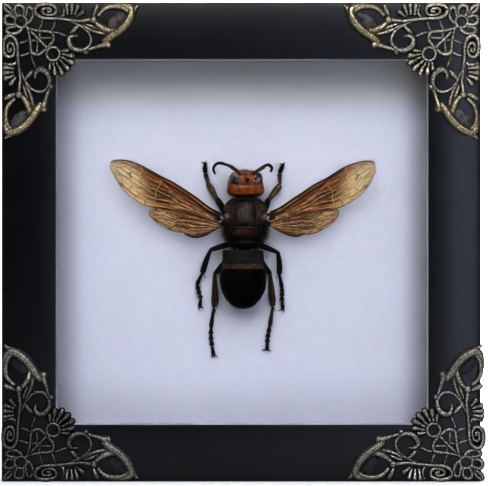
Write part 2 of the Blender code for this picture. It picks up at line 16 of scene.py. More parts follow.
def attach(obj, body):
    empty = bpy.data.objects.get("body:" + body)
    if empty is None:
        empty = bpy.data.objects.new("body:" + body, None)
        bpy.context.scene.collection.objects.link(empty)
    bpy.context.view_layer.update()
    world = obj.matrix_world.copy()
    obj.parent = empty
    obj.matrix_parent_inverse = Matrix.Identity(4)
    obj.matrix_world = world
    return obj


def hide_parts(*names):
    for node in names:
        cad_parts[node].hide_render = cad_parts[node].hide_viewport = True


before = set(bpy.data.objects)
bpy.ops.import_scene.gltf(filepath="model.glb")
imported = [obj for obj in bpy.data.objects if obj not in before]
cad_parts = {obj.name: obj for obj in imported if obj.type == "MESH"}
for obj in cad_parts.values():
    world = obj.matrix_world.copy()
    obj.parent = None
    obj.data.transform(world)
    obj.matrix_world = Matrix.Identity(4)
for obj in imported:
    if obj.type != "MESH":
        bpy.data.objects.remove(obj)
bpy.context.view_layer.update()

MM = 0.001
WELD = 0.0005
SHARP_ANGLE = 48
BLACK = (0.0, 0.0, 0.0)
WHITE = (1.0, 1.0, 1.0)

# Frame
SIDE = 150.0
MIDDLE = SIDE / 2
FRONT_Y = -15.0
BACK_Y = 15.0
CROSS_RAIL = 17.7
LEFT_RAIL = 16.9
RIGHT_RAIL = 16.3
LIP_DEPTH = 3.0
LIP_WIDTH = 1.8
MITRE_GAP = 0.03
OUTER_ROUND = 0.8
LIP_ROUND = 0.4
BACK_ROUND = 0.5
# Rails: node, width, widths of the rails at its two ends, turn from the bottom rail's place
RAILS = [
    ("rail_bottom", CROSS_RAIL, LEFT_RAIL, RIGHT_RAIL, 0),
    ("rail_left", LEFT_RAIL, CROSS_RAIL, CROSS_RAIL, 90),
    ("rail_top", CROSS_RAIL, RIGHT_RAIL, LEFT_RAIL, 180),
    ("rail_right", RIGHT_RAIL, CROSS_RAIL, CROSS_RAIL, 270),
]
# Card strips round the inside: side, paleness, blue as a share of the red. The four strips are the same
# card; their different paleness and blue are painted light and shade for each side
LININGS = [("top", 0.76, 0.98), ("bottom", 0.56, 1.12), ("left", 0.5, 1.05), ("right", 0.62, 1.02)]
CARD_MIDDLE = (LEFT_RAIL - RIGHT_RAIL) / 2

# Fittings on the back
BUTTON_LENGTH = 22.0
BUTTON_WIDTH = 8.0
BUTTON_SCREW_SHARE = -0.6
# Turn buttons: side, which way it lies from the middle, width of its rail, shift along the
# rail, turn of its long end towards the panel, turn of the screw's slot
TURN_BUTTONS = [
    ("bottom", 0, -1, CROSS_RAIL, 0.0, 90, 20),
    ("left", -1, 0, LEFT_RAIL, 0.0, 180, -50),
    ("top", 0, 1, CROSS_RAIL, -40.0, -90, 75),
    ("right", 1, 0, RIGHT_RAIL, 0.0, 0, 35),
]
PLATE_THICK = 1.0
PLATE_EDGE = 0.15
PLATE_Y = 15.8
HEAD_Y = 16.6
HOLE_CLEARANCE = 0.3
SCREW_HEAD_R = 3.0
SCREW_HEAD_HEIGHT = 1.0
SCREW_SHANK_R = 1.2
SCREW_LENGTH = 8.0
SLOT_WIDTH = 0.8
SLOT_DEPTH = 0.5
HANGER_LENGTH = 46.0
HANGER_HEIGHT = 9.0
HANGER_TEETH = 9
HANGER_TOOTHED = 24.0
HANGER_TAPER = 7.5
NAIL_SPACING = 38.0
NAIL_HEAD_R = 2.0
NAIL_HEAD_HEIGHT = 0.8
NAIL_SHANK_R = 0.7
NAIL_LENGTH = 9.0

# Filigree corners
# Name, and side of the frame across and up, each a quarter turn on from the last
CORNERS = [("bottom_left", -1, -1), ("bottom_right", 1, -1), ("top_right", 1, 1), ("top_left", -1, 1)]
CORNER_INSET = 0.4
OVERHUNG = "bottom_right"
OVERHANG = 1.4
CASTING_VOXEL = 0.165
CASTING_BACK = 0.05
WIRE_SCALE = 1.1
FLOWER_CENTRE = 5.6
SHELL_CENTRE = 15.7
GLUE_AT = (5.3, 35.9)
# How far a point stands out from those around it, fully dark and fully bright
HOLLOW = -0.006
RIDGE = 0.006
# Bronzes: name, colours in the hollows, on the wires, on the loops and on the ridges, and the
# brightness left at the left-hand side, which is painted shade. The lower bronze is a darker,
# greyer copy; its darkness is painted shade.
UPPER_BRONZE = ("upper_bronze", (0.022, 0.018, 0.014), (0.26, 0.225, 0.175), (0.68, 0.56, 0.35),
                (1.0, 0.93, 0.78), 0.72)
LOWER_BRONZE = ("shaded_lower_bronze", (0.015, 0.0135, 0.012), (0.16, 0.145, 0.13), (0.57, 0.51, 0.43),
                (0.90, 0.84, 0.75), 0.5)

# Specimen
# Zero of its own drawing, in the frame
BODY_X = 1.2
BODY_Y = 8.3
BODY_Z = 73.4
HEAD_CENTRE = Vector((0.1, 20.0, 4.9))
HEAD_HALF = (5.5, 4.25, 4.3)
HEAD_ROLL = 8.0
EYE_HALF = (1.95, 2.35, 2.9)
SIMPLE_EYE = (0.22, 0.22, 0.2)
THORAX_MIDDLE = 0.1
TRUNK_VOXEL = 0.17
PLATES_VOXEL = 0.12
DOME_HALF = 3.4
DOME_LOW = 7.0
DOME_LEAN = 0.14
WING_THICK = 0.09
WING_DROOP = math.tan(math.radians(1.0))
PALER_VEIN_SCALE = 1.3
VEIN_SHADOW = 0.3
MEMBRANE_SHADOW = 0.05
TIBIA_SCALE = 1.08
ANTENNA_SCALE = 1.12
FOOT_WIDTHS = {"foreleg": (0.68, 0.68, 0.68, 0.65, 0.58), "midleg": (0.6, 0.6, 0.62, 0.62, 0.56),
               "hindleg": (0.6, 0.6, 0.62, 0.62, 0.56)}
PALE_HEELS = ("foreleg_left", "foreleg_right", "hindleg_right")

# Wires of half a casting: mirrored or not, and (across, along, height of the middle, radius)
CASTING_WIRES = [
    # stem and volute
    (True, [
        (5.51, 24.41, 0.73, 0.53), (5.07, 20.65, 0.73, 0.57), (4.69, 16.9, 0.73, 0.65),
        (4.47, 12.83, 0.73, 0.69), (3.5, 10.7, 0.73, 0.7), (1.88, 10.01, 0.73, 0.7),
        (0.59, 11.11, 0.73, 0.7), (0.22, 13.58, 0.73, 0.7), (0.72, 15.86, 0.73, 0.69),
        (2.0, 16.71, 0.73, 0.66), (3.19, 16.15, 0.73, 0.65), (3.63, 14.77, 0.73, 0.61),
        (3.32, 13.02, 0.73, 0.57), (2.32, 12.27, 0.73, 0.57), (1.53, 12.89, 0.73, 0.56),
        (1.41, 14.21, 0.73, 0.56), (1.94, 15.08, 0.73, 0.53), (2.57, 14.64, 0.73, 0.53),
        (2.38, 13.83, 0.73, 0.57),
    ]),
    # first frond
    (True, [
        (0.28, 18.46, 0.61, 0.52), (1.1, 19.06, 0.71, 0.63), (2.35, 19.18, 0.71, 0.68),
        (3.6, 18.9, 0.71, 0.63), (4.38, 18.02, 0.66, 0.52),
    ]),
    # four club fronds
    (True, [
        (3.69, 20.34, 0.56, 0.44), (2.03, 20.13, 0.71, 0.73), (0.62, 19.96, 0.81, 0.96),
        (0.38, 19.93, 0.71, 0.73),
    ]),
    (True, [
        (3.57, 21.46, 0.56, 0.44), (1.96, 21.56, 0.71, 0.73), (0.59, 21.64, 0.81, 0.96),
        (0.34, 21.65, 0.71, 0.73),
    ]),
    (True, [
        (3.69, 22.47, 0.56, 0.44), (2.16, 22.97, 0.71, 0.73), (0.86, 23.39, 0.81, 0.96),
        (0.63, 23.47, 0.71, 0.73),
    ]),
    (True, [
        (4.13, 23.03, 0.56, 0.44), (3.25, 24.12, 0.71, 0.73), (2.51, 25.05, 0.81, 0.96),
        (2.38, 25.22, 0.71, 0.73),
    ]),
    # scroll
    (True, [
        (10.2, 23.65, 0.61, 0.39), (10.14, 22.03, 0.76, 0.73), (11.08, 20.78, 0.91, 1.01),
        (12.64, 20.84, 1.01, 1.11), (14.02, 22.09, 1.01, 1.01), (14.58, 23.9, 0.96, 0.86),
        (14.27, 25.78, 0.86, 0.73), (13.02, 27.16, 0.76, 0.61), (11.17, 27.6, 0.71, 0.53),
        (9.2, 26.85, 0.66, 0.47), (7.7, 25.34, 0.61, 0.47), (6.63, 23.53, 0.61, 0.47),
        (5.44, 20.96, 0.61, 0.47), (4.82, 18.15, 0.61, 0.47),
    ]),
    # scroll web
    (True, [
        (9.64, 20.9, 0.46, 0.56), (8.32, 22.09, 0.46, 0.87), (6.95, 23.53, 0.46, 0.65),
    ]),
    # border link
    (True, [
        (14.52, 26.28, 0.81, 0.68), (14.05, 27.72, 0.81, 0.68), (13.52, 29.6, 0.81, 0.68),
        (13.02, 31.16, 0.86, 0.85), (12.58, 32.35, 0.91, 1.0),
    ]),
    # outer ridge
    (True, [
        (12.58, 32.35, 0.8, 0.7), (11.26, 33.54, 0.66, 0.74), (9.7, 35.79, 0.66, 0.78),
        (7.7, 38.3, 0.66, 0.78), (5.44, 40.18, 0.66, 0.74), (2.82, 41.05, 0.66, 0.68),
        (1.31, 41.61, 0.75, 0.53), (0.56, 42.43, 0.65, 0.36),
    ]),
    # inner ridge
    (True, [
        (11.45, 31.6, 0.71, 0.61), (9.82, 32.73, 0.71, 0.66), (8.89, 34.23, 0.71, 0.66),
        (7.2, 36.73, 0.71, 0.66), (4.94, 38.86, 0.71, 0.75), (3.25, 39.49, 0.71, 0.75),
        (1.69, 38.36, 0.71, 0.75), (0.94, 36.05, 0.71, 0.75), (1.13, 33.04, 0.71, 0.75),
        (2.25, 31.1, 0.71, 0.66), (3.88, 29.72, 0.71, 0.61),
    ]),
    # band
    (True, [
        (12.1, 31.2, 0.66, 0.9), (10.5, 33.3, 0.7, 1.3), (8.6, 36.2, 0.7, 1.4),
        (6.1, 38.7, 0.7, 1.45), (3.4, 40.1, 0.7, 1.3), (1.5, 39.9, 0.62, 1.05),
        (0.75, 37.86, 0.55, 0.8), (0.65, 35.04, 0.5, 0.7),
    ]),
    # leaf arm
    (True, [
        (4.57, 28.04, 0.71, 0.5), (3.19, 28.5, 0.78, 0.7), (1.63, 29.2, 0.82, 0.85),
        (0.45, 29.9, 0.71, 0.6),
    ]),
    # calyx
    (True, [
        (5.2, 28.4, 0.76, 0.61), (6.7, 29.9, 0.86, 0.88), (7.9, 31.9, 0.92, 1.04),
        (8.4, 34.0, 0.86, 0.77), (7.9, 35.9, 0.81, 0.61),
    ]),
    # main stem
    (True, [
        (5.51, 23.15, 0.66, 0.56), (5.32, 25.22, 0.71, 0.68), (5.07, 27.41, 0.81, 0.79),
    ]),
    # two low stems
    (True, [
        (5.82, 24.28, 0.51, 0.44), (6.76, 26.97, 0.56, 0.55), (7.51, 29.16, 0.56, 0.55),
        (8.07, 31.48, 0.56, 0.5),
    ]),
    (True, [
        (6.45, 24.28, 0.51, 0.44), (7.95, 26.91, 0.56, 0.55), (8.95, 29.41, 0.56, 0.55),
        (9.45, 31.91, 0.56, 0.5),
    ]),
    # leaf edge
    (True, [
        (7.82, 7.88, 0.61, 0.54), (8.51, 11.39, 0.61, 0.54), (8.89, 14.89, 0.61, 0.59),
        (9.95, 15.77, 0.61, 0.65), (11.45, 15.83, 0.61, 0.59), (12.77, 14.89, 0.61, 0.59),
        (13.95, 14.08, 0.61, 0.59),
    ]),
    # leaf crosses
    (True, [
        (8.32, 11.45, 0.53, 0.41), (10.89, 11.55, 0.53, 0.41),
    ]),
    (True, [
        (10.61, 15.83, 0.53, 0.41), (10.83, 11.39, 0.53, 0.41),
    ]),
    # leaf ties
    (True, [
        (7.88, 11.39, 0.56, 0.4), (6.7, 12.02, 0.56, 0.41), (5.01, 12.39, 0.56, 0.41),
    ]),
    (True, [
        (8.73, 15.02, 0.56, 0.41), (7.07, 15.96, 0.56, 0.45), (5.13, 16.4, 0.56, 0.41),
    ]),
    # twig
    (True, [
        (8.95, 15.33, 0.56, 0.44), (9.14, 17.4, 0.56, 0.4), (9.89, 19.02, 0.56, 0.44),
        (10.08, 19.9, 0.51, 0.38),
    ]),
    # petals
    (True, [
        (7.2, 3.88, 0.61, 0.62), (7.45, 1.94, 0.66, 0.64), (8.32, 1.19, 0.66, 0.68),
        (9.26, 1.94, 0.66, 0.68), (9.45, 3.5, 0.61, 0.64), (8.7, 5.26, 0.61, 0.62),
        (7.7, 6.01, 0.61, 0.62),
    ]),
    (True, [
        (4.44, 3.88, 0.61, 0.62), (3.69, 2.25, 0.66, 0.68), (4.01, 0.94, 0.66, 0.68),
        (5.26, 0.56, 0.66, 0.68), (6.45, 1.44, 0.66, 0.68), (6.63, 3.0, 0.61, 0.64),
        (6.32, 3.82, 0.61, 0.62),
    ]),
    (False, [
        (4.19, 4.07, 0.61, 0.62), (3.19, 2.75, 0.66, 0.64), (2.07, 1.13, 0.66, 0.68),
        (0.5, 0.5, 0.66, 0.68), (1.13, 2.07, 0.66, 0.68), (2.75, 3.19, 0.66, 0.64),
        (4.07, 4.19, 0.61, 0.62),
    ]),
    # leaf vein
    (False, [
        (7.2, 7.2, 0.61, 0.48), (9.39, 9.45, 0.61, 0.48), (11.7, 11.76, 0.61, 0.51),
        (13.64, 13.7, 0.66, 0.54),
    ]),
]
# Beads of half a casting: across, along, height of the middle, radius
CASTING_BEADS = [(5.04, 28.45, 0.8, 1.35), (15.05, 25.94, 0.65, 1.1), (12.83, 32.9, 0.75, 1.2)]
# Low webs of half a casting, inside the volute and behind the fronds: across, along, half sizes
CASTING_WEBS = [(2.1, 13.4, 1.5, 2.6), (2.1, 21.7, 1.9, 2.4)]
WEB_HEIGHT = 0.15
WEB_HALF = 0.3
# Lobes of the shell: angle from the diagonal, reach, half width
SHELL_LOBES = [(0.0, 7.9, 1.12), (20.0, 7.9, 1.12), (39.5, 7.3, 1.05), (59.0, 6.0, 0.9)]
# Bulb of a lobe: share of its reach, height, share of its half width
SHELL_BULB = [(0.46, 0.35, 0.25), (0.6, 0.6, 0.6), (0.78, 0.7, 0.95), (0.91, 0.65, 0.95), (0.99, 0.5, 0.5)]
# Petal inside a lobe: reach, height, radius
SHELL_PETAL = [(2.3, 0.6, 0.25), (3.1, 0.85, 0.45), (4.0, 0.8, 0.42), (4.9, 0.6, 0.2)]

# Wings: leading and trailing edge from the hinge to the tip, as (across, along)
WINGS = {
    "forewing_left": ([
        (-8.01, 10.83), (-10.01, 11.76), (-12.2, 13.14), (-15.46, 15.71), (-20.24, 18.9),
        (-23.59, 20.96), (-25.81, 22.03), (-28.54, 23.56), (-31.41, 25.09), (-33.64, 26.19),
        (-36.17, 27.13), (-38.7, 27.57), (-41.27, 27.38), (-42.46, 26.85),
    ], [
        (-7.51, 8.5), (-9.07, 8.0), (-11.61, 8.95), (-15.33, 9.95), (-19.09, 10.7),
        (-22.84, 11.33), (-26.6, 11.95), (-29.72, 12.55), (-31.41, 13.05), (-33.64, 14.05),
        (-36.17, 15.93), (-38.2, 17.8), (-39.89, 19.99), (-41.61, 22.87), (-42.65, 25.19),
    ]),
    "forewing_right": ([
        (7.95, 11.01), (10.92, 12.33), (14.67, 14.89), (18.43, 17.37), (22.15, 19.87),
        (25.91, 21.87), (29.63, 24.25), (32.13, 25.59), (35.89, 26.85), (38.49, 27.28),
        (40.3, 27.03), (41.11, 26.16),
    ], [
        (7.51, 8.5), (9.67, 8.3), (13.45, 9.3), (17.21, 10.03), (20.96, 10.7), (24.72, 11.33),
        (28.91, 12.02), (30.88, 12.77), (33.39, 14.14), (36.39, 16.36), (38.86, 19.12),
        (40.61, 22.12), (41.49, 24.22),
    ]),
    "hindwing_left": ([
        (-7.32, 7.26), (-9.07, 8.01), (-12.52, 9.2), (-16.58, 10.45), (-21.9, 11.7),
        (-26.6, 12.33), (-29.38, 12.02), (-30.29, 11.26),
    ], [
        (-7.26, 6.45), (-8.26, 5.94), (-10.67, 4.51), (-12.27, 3.57), (-14.64, 2.85),
        (-16.74, 2.91), (-18.18, 3.41), (-19.12, 4.04), (-19.43, 4.51), (-20.24, 4.44),
        (-21.84, 4.76), (-23.44, 5.23), (-25.47, 6.26), (-27.85, 7.6), (-29.72, 9.32),
        (-30.41, 10.39),
    ]),
    "hindwing_right": ([
        (7.38, 7.54), (8.7, 7.95), (12.2, 9.14), (16.27, 10.33), (21.9, 11.58), (26.28, 12.33),
        (28.72, 12.08), (29.66, 11.26),
    ], [
        (7.32, 6.76), (8.7, 6.01), (10.17, 5.16), (11.92, 4.29), (14.17, 3.41), (16.68, 3.16),
        (18.68, 3.85), (19.65, 3.79), (22.15, 4.29), (24.66, 5.41), (27.16, 7.13), (28.91, 8.89),
        (29.79, 10.39),
    ]),
}
WING_HEIGHTS = {"forewing": 6.6, "hindwing": 6.05}
# Material slots of the veins
DARK, AMBER, PALE = 1, 2, 3
# Veins: slot, radius at the hinge end and at the far end, then (share of the span, share of the chord)
VEINS = {
    "forewing": [
        (DARK, 0.38, 0.13, [(0.0, 0.96), (0.2, 0.975), (0.4, 0.985), (0.6, 0.985), (0.8, 0.99),
                            (0.99, 0.97)]),
        (DARK, 0.32, 0.26, [(0.02, 0.6), (0.12, 0.62), (0.23, 0.76), (0.36, 0.83), (0.48, 0.87),
                            (0.56, 0.93), (0.63, 0.95)]),
        (AMBER, 0.19, 0.16, [(0.05, 0.33), (0.15, 0.34), (0.26, 0.44), (0.35, 0.58), (0.44, 0.68),
                             (0.51, 0.8), (0.56, 0.9)]),
        (AMBER, 0.13, 0.09, [(0.53, 0.84), (0.595, 0.79), (0.645, 0.78), (0.7, 0.84), (0.74, 0.96)]),
        (AMBER, 0.09, 0.08, [(0.7, 0.84), (0.725, 0.75), (0.735, 0.6)]),
        (PALE, 0.15, 0.08, [(0.055, 0.19), (0.17, 0.22), (0.26, 0.32), (0.335, 0.37), (0.415, 0.47),
                            (0.495, 0.52), (0.56, 0.55), (0.605, 0.54), (0.67, 0.56), (0.745, 0.57)]),
        (AMBER, 0.1, 0.09, [(0.535, 0.84), (0.55, 0.65), (0.56, 0.55)]),
        (PALE, 0.09, 0.08, [(0.56, 0.55), (0.54, 0.34), (0.54, 0.16), (0.53, 0.04)]),
        (PALE, 0.1, 0.07, [(0.3, 0.2), (0.385, 0.3), (0.46, 0.32), (0.535, 0.28), (0.59, 0.28),
                           (0.66, 0.25)]),
        (AMBER, 0.15, 0.1, [(0.03, 0.08), (0.13, 0.07), (0.22, 0.12), (0.31, 0.17), (0.395, 0.13),
                            (0.46, 0.1), (0.53, 0.04)]),
        (AMBER, 0.13, 0.1, [(0.2, 0.24), (0.275, 0.3), (0.325, 0.36)]),
        # The next two pale veins stand for veins catching the light, their paleness painted highlight; the
        # five dark veins after them are lines of painted shade beside them
        (PALE, 0.1, 0.05, [(0.1, 0.27), (0.2, 0.36), (0.3, 0.47), (0.42, 0.6), (0.52, 0.66)]),
        (PALE, 0.09, 0.05, [(0.14, 0.14), (0.26, 0.24), (0.38, 0.2), (0.5, 0.19), (0.62, 0.14)]),
        (DARK, 0.13, 0.06, [(0.08, 0.28), (0.2, 0.4), (0.3, 0.51), (0.42, 0.63), (0.56, 0.74)]),
        (DARK, 0.13, 0.05, [(0.06, 0.15), (0.18, 0.18), (0.33, 0.27), (0.48, 0.38), (0.64, 0.38)]),
        (DARK, 0.11, 0.05, [(0.1, 0.44), (0.2, 0.53), (0.32, 0.66), (0.44, 0.76), (0.52, 0.84)]),
        (DARK, 0.1, 0.05, [(0.2, 0.08), (0.34, 0.1), (0.46, 0.21), (0.6, 0.2), (0.7, 0.16)]),
        (DARK, 0.09, 0.04, [(0.34, 0.42), (0.45, 0.53), (0.58, 0.62), (0.7, 0.66)]),
        (DARK, 0.07, 0.04, [(0.66, 0.94), (0.75, 0.9), (0.84, 0.86), (0.92, 0.8)]),
        (PALE, 0.05, 0.04, [(0.93, 0.9), (0.9, 0.72), (0.86, 0.8), (0.8, 0.86)]),
        (PALE, 0.12, 0.06, [(0.05, 0.79), (0.15, 0.85), (0.27, 0.88)]),
        (PALE, 0.06, 0.05, [(0.76, 0.57), (0.785, 0.46), (0.79, 0.25)]),
        (DARK, 0.08, 0.07, [(0.1, 0.012), (0.3, 0.012), (0.5, 0.012), (0.7, 0.012), (0.9, 0.014),
                            (0.98, 0.02)]),
    ],
    "hindwing": [
        (DARK, 0.17, 0.09, [(0.0, 0.95), (0.3, 0.97), (0.6, 0.97), (0.85, 0.97), (0.98, 0.9)]),
        (AMBER, 0.13, 0.08, [(0.025, 0.61), (0.17, 0.82), (0.35, 0.84), (0.53, 0.87), (0.68, 0.93),
                             (0.795, 0.94)]),
        (PALE, 0.13, 0.06, [(0.03, 0.45), (0.23, 0.68), (0.435, 0.66), (0.605, 0.52), (0.68, 0.2)]),
        (PALE, 0.1, 0.05, [(0.04, 0.3), (0.23, 0.52), (0.385, 0.5), (0.535, 0.42), (0.72, 0.34)]),
        (PALE, 0.1, 0.05, [(0.055, 0.2), (0.23, 0.4), (0.37, 0.38), (0.48, 0.2), (0.515, 0.04)]),
        (PALE, 0.06, 0.05, [(0.435, 0.8), (0.585, 0.71), (0.725, 0.67), (0.845, 0.63)]),
        (DARK, 0.12, 0.05, [(0.02, 0.55), (0.2, 0.76), (0.4, 0.78), (0.58, 0.78), (0.75, 0.8)]),
        (DARK, 0.12, 0.04, [(0.03, 0.38), (0.23, 0.6), (0.42, 0.57), (0.58, 0.45), (0.7, 0.3)]),
        (DARK, 0.11, 0.04, [(0.04, 0.25), (0.22, 0.46), (0.38, 0.44), (0.5, 0.3), (0.55, 0.15)]),
        (DARK, 0.09, 0.06, [(0.06, 0.1), (0.18, 0.22), (0.3, 0.2), (0.4, 0.08), (0.43, 0.02)]),
        (DARK, 0.07, 0.06, [(0.05, 0.015), (0.2, 0.015), (0.4, 0.015), (0.6, 0.015), (0.8, 0.015),
                            (0.97, 0.03)]),
    ],
}

# Legs: (across, along, height, radius) down the femur and the tibia, the far ends of the five
# joints of the foot, the tip of the spur and the tips of the two claws
LEGS = {
    "foreleg_left": (
        [(-6.0, 10.2, 1.4, 0.7), (-7.0, 12.1, 1.8, 0.98), (-8.3, 14.4, 2.3, 0.92), (-8.95, 15.4, 2.4, 0.62)],
        [(-9.0, 15.3, 2.4, 0.55), (-10.0, 17.1, 2.25, 0.84), (-10.8, 18.6, 2.0, 0.92),
         (-11.6, 19.9, 1.8, 0.78)],
        [(-12.5, 23.3, 1.3), (-12.6, 24.3, 1.15), (-12.65, 25.0, 1.05), (-12.6, 25.6, 1.0),
         (-12.5, 26.5, 0.9)],
        (-11.0, 21.8, 1.5),
        [(-13.9, 26.9, 0.6), (-12.3, 27.3, 0.6)],
    ),
    "foreleg_right": (
        [(5.8, 10.5, 1.4, 0.7), (6.5, 12.4, 1.8, 0.98), (7.2, 14.4, 2.3, 0.9), (7.6, 15.4, 2.4, 0.6)],
        [(7.7, 15.1, 2.4, 0.55), (8.9, 16.7, 2.25, 0.84), (10.0, 18.1, 2.0, 0.92), (11.1, 19.5, 1.8, 0.76)],
        [(10.95, 23.4, 1.3), (11.2, 24.2, 1.15), (11.5, 24.8, 1.05), (11.8, 25.4, 1.0), (12.1, 26.1, 0.9)],
        (10.3, 21.3, 1.5),
        [(10.9, 26.5, 0.6), (12.7, 26.9, 0.6)],
    ),
    "midleg_left": (
        [(-3.8, 1.5, 1.8, 0.65), (-4.9, 0.9, 2.2, 0.88), (-8.0, 0.0, 3.1, 0.86), (-10.9, -0.9, 3.6, 0.62)],
        [(-10.8, -0.9, 3.6, 0.52), (-11.5, -2.4, 3.3, 0.62), (-12.5, -5.0, 2.6, 0.82),
         (-13.3, -7.6, 1.9, 0.84), (-13.5, -8.2, 1.8, 0.6)],
        [(-15.2, -11.9, 1.3), (-14.8, -13.4, 1.1), (-14.4, -14.8, 1.0), (-14.0, -16.3, 0.95),
         (-14.3, -18.8, 0.8)],
        (-12.3, -9.9, 1.5),
        [(-13.0, -19.4, 0.5), (-14.6, -20.0, 0.5)],
    ),
    "midleg_right": (
        [(3.8, 1.5, 1.8, 0.65), (4.7, 0.7, 2.2, 0.88), (7.4, -0.5, 3.1, 0.86), (10.2, -1.6, 3.6, 0.62)],
        [(10.3, -1.4, 3.6, 0.52), (10.6, -3.0, 3.3, 0.64), (10.9, -5.6, 2.6, 0.8), (10.9, -8.0, 1.9, 0.8),
         (10.9, -8.6, 1.8, 0.6)],
        [(11.7, -12.9, 1.2), (11.75, -14.2, 1.1), (11.7, -15.5, 1.0), (11.7, -17.0, 0.95),
         (12.0, -19.6, 0.8)],
        (9.7, -10.1, 1.4),
        [(10.4, -20.3, 0.5), (12.6, -20.7, 0.5)],
    ),
    "hindleg_left": (
        [(-3.0, -0.6, 1.0, 0.6), (-4.9, -3.2, 1.1, 0.8), (-7.3, -6.0, 1.5, 0.92), (-9.5, -8.5, 2.2, 0.68)],
        [(-9.6, -8.3, 2.2, 0.46), (-9.6, -11.0, 2.0, 0.64), (-9.5, -14.6, 1.75, 0.92),
         (-9.5, -17.2, 1.5, 1.04), (-9.8, -18.9, 1.3, 0.66)],
        [(-10.8, -25.6, 0.9), (-10.8, -27.6, 0.8), (-10.75, -29.4, 0.8), (-10.4, -31.2, 0.75),
         (-9.9, -34.2, 0.7)],
        (-9.0, -21.4, 1.0),
        [(-8.45, -34.7, 0.45), (-10.6, -35.0, 0.45)],
    ),
    "hindleg_right": (
        [(3.0, -0.6, 1.0, 0.6), (4.4, -3.2, 1.1, 0.8), (6.0, -5.9, 1.4, 0.92), (8.1, -8.5, 2.2, 0.68)],
        [(7.9, -8.3, 2.2, 0.46), (8.2, -11.0, 2.0, 0.64), (8.5, -14.4, 1.75, 0.9), (8.7, -16.6, 1.5, 0.98),
         (8.9, -18.6, 1.3, 0.66)],
        [(7.8, -25.1, 0.9), (7.45, -27.0, 0.8), (7.2, -28.6, 0.8), (7.05, -30.2, 0.75), (7.0, -32.5, 0.7)],
        (9.7, -20.6, 1.0),
        [(5.3, -32.5, 0.45), (8.5, -33.0, 0.45)],
    ),
}
# Antennae: (across, along, height, radius); the first three points are the stout first joint
ANTENNAE = {
    "antenna_left": [
        (-1.2, 22.6, 8.9, 0.36), (-2.7, 24.1, 8.9, 0.48), (-4.3, 25.3, 8.6, 0.55),
        (-5.4, 25.8, 8.4, 0.40), (-7.3, 26.4, 8.0, 0.46), (-8.6, 26.4, 7.7, 0.43),
        (-9.6, 25.6, 7.5, 0.41), (-9.95, 24.4, 7.3, 0.37), (-9.4, 22.9, 7.2, 0.29),
    ],
    "antenna_right": [
        (2.2, 22.9, 8.8, 0.36), (3.9, 24.0, 8.8, 0.48), (5.7, 25.1, 8.5, 0.55),
        (6.5, 25.7, 8.2, 0.40), (7.4, 25.9, 7.7, 0.46), (8.3, 25.3, 7.1, 0.43),
        (8.5, 24.6, 6.7, 0.38), (8.0, 23.7, 6.3, 0.30),
    ],
}

# Turned outline of the abdomen: radius, and place along the body; each ring laps over the next
ABDOMEN_CENTRE = (-0.6, 6.5)
ABDOMEN_FLATNESS = 0.79
ABDOMEN_OUTLINE = [
    (0.0, -0.35), (1.2, -0.4), (1.5, -0.8), (4.4, -0.95), (6.0, -1.05), (6.4, -1.25), (6.5, -1.8),
    (6.55, -3.4), (6.62, -4.6), (6.62, -5.1), (6.45, -5.25), (6.3, -5.3), (6.35, -5.6), (6.5, -6.2),
    (6.72, -6.6), (7.0, -7.0), (7.25, -8.0), (7.38, -9.3), (7.4, -10.6), (7.36, -11.6), (7.22, -11.8),
    (7.18, -12.1), (7.05, -13.0), (6.75, -14.0), (6.38, -14.9), (6.2, -15.0), (6.12, -15.2), (5.75, -16.0),
    (5.2, -16.8), (4.75, -17.2), (4.6, -17.35), (4.2, -17.9), (3.4, -18.6), (2.5, -19.1), (1.5, -19.4),
    (0.6, -19.55), (0.0, -19.6),
]

# Across, along, height and radius down the collar, and down the pale line on the thorax that is a painted
# highlight along the suture
COLLAR = [
    (-6.0, 11.2, 5.6, 0.9), (-5.3, 13.3, 6.2, 0.9), (-3.7, 14.6, 7.0, 0.8), (-1.8, 15.1, 7.6, 0.6),
    (0.1, 15.2, 7.8, 0.5), (2.0, 15.1, 7.6, 0.6), (3.9, 14.6, 7.0, 0.8), (5.5, 13.3, 6.2, 0.9),
    (6.2, 11.2, 5.6, 0.9),
]
SEAM_HIGHLIGHT = [
    (-2.7, 6.15, 9.95, 0.04), (-1.6, 6.2, 10.35, 0.08), (0.1, 6.25, 10.55, 0.08), (1.8, 6.2, 10.35, 0.08),
    (2.9, 6.15, 9.95, 0.04),
]
# Hairs: kind, number, middle and half size of the block they grow on, lowest root, length;
# the dark ones grow on the flanks only
HAIRS = [
    ("pale", 800, (0.1, 9.3, 5.6), (6.3, 6.0, 5.1), 1.0, 0.8),
    ("dark", 2600, (0.1, 7.75, 5.4), (6.2, 7.5, 4.4), 1.0, 2.0),
    ("dark", 500, (0.1, 2.0, 6.1), (4.4, 2.9, 3.5), 1.0, 1.3),
    ("pale", 260, (0.1, 20.0, 4.9), (5.3, 4.3, 4.3), 0.5, 0.6),
]
FLANK_START = 2.6
FLANK_END = 8.5
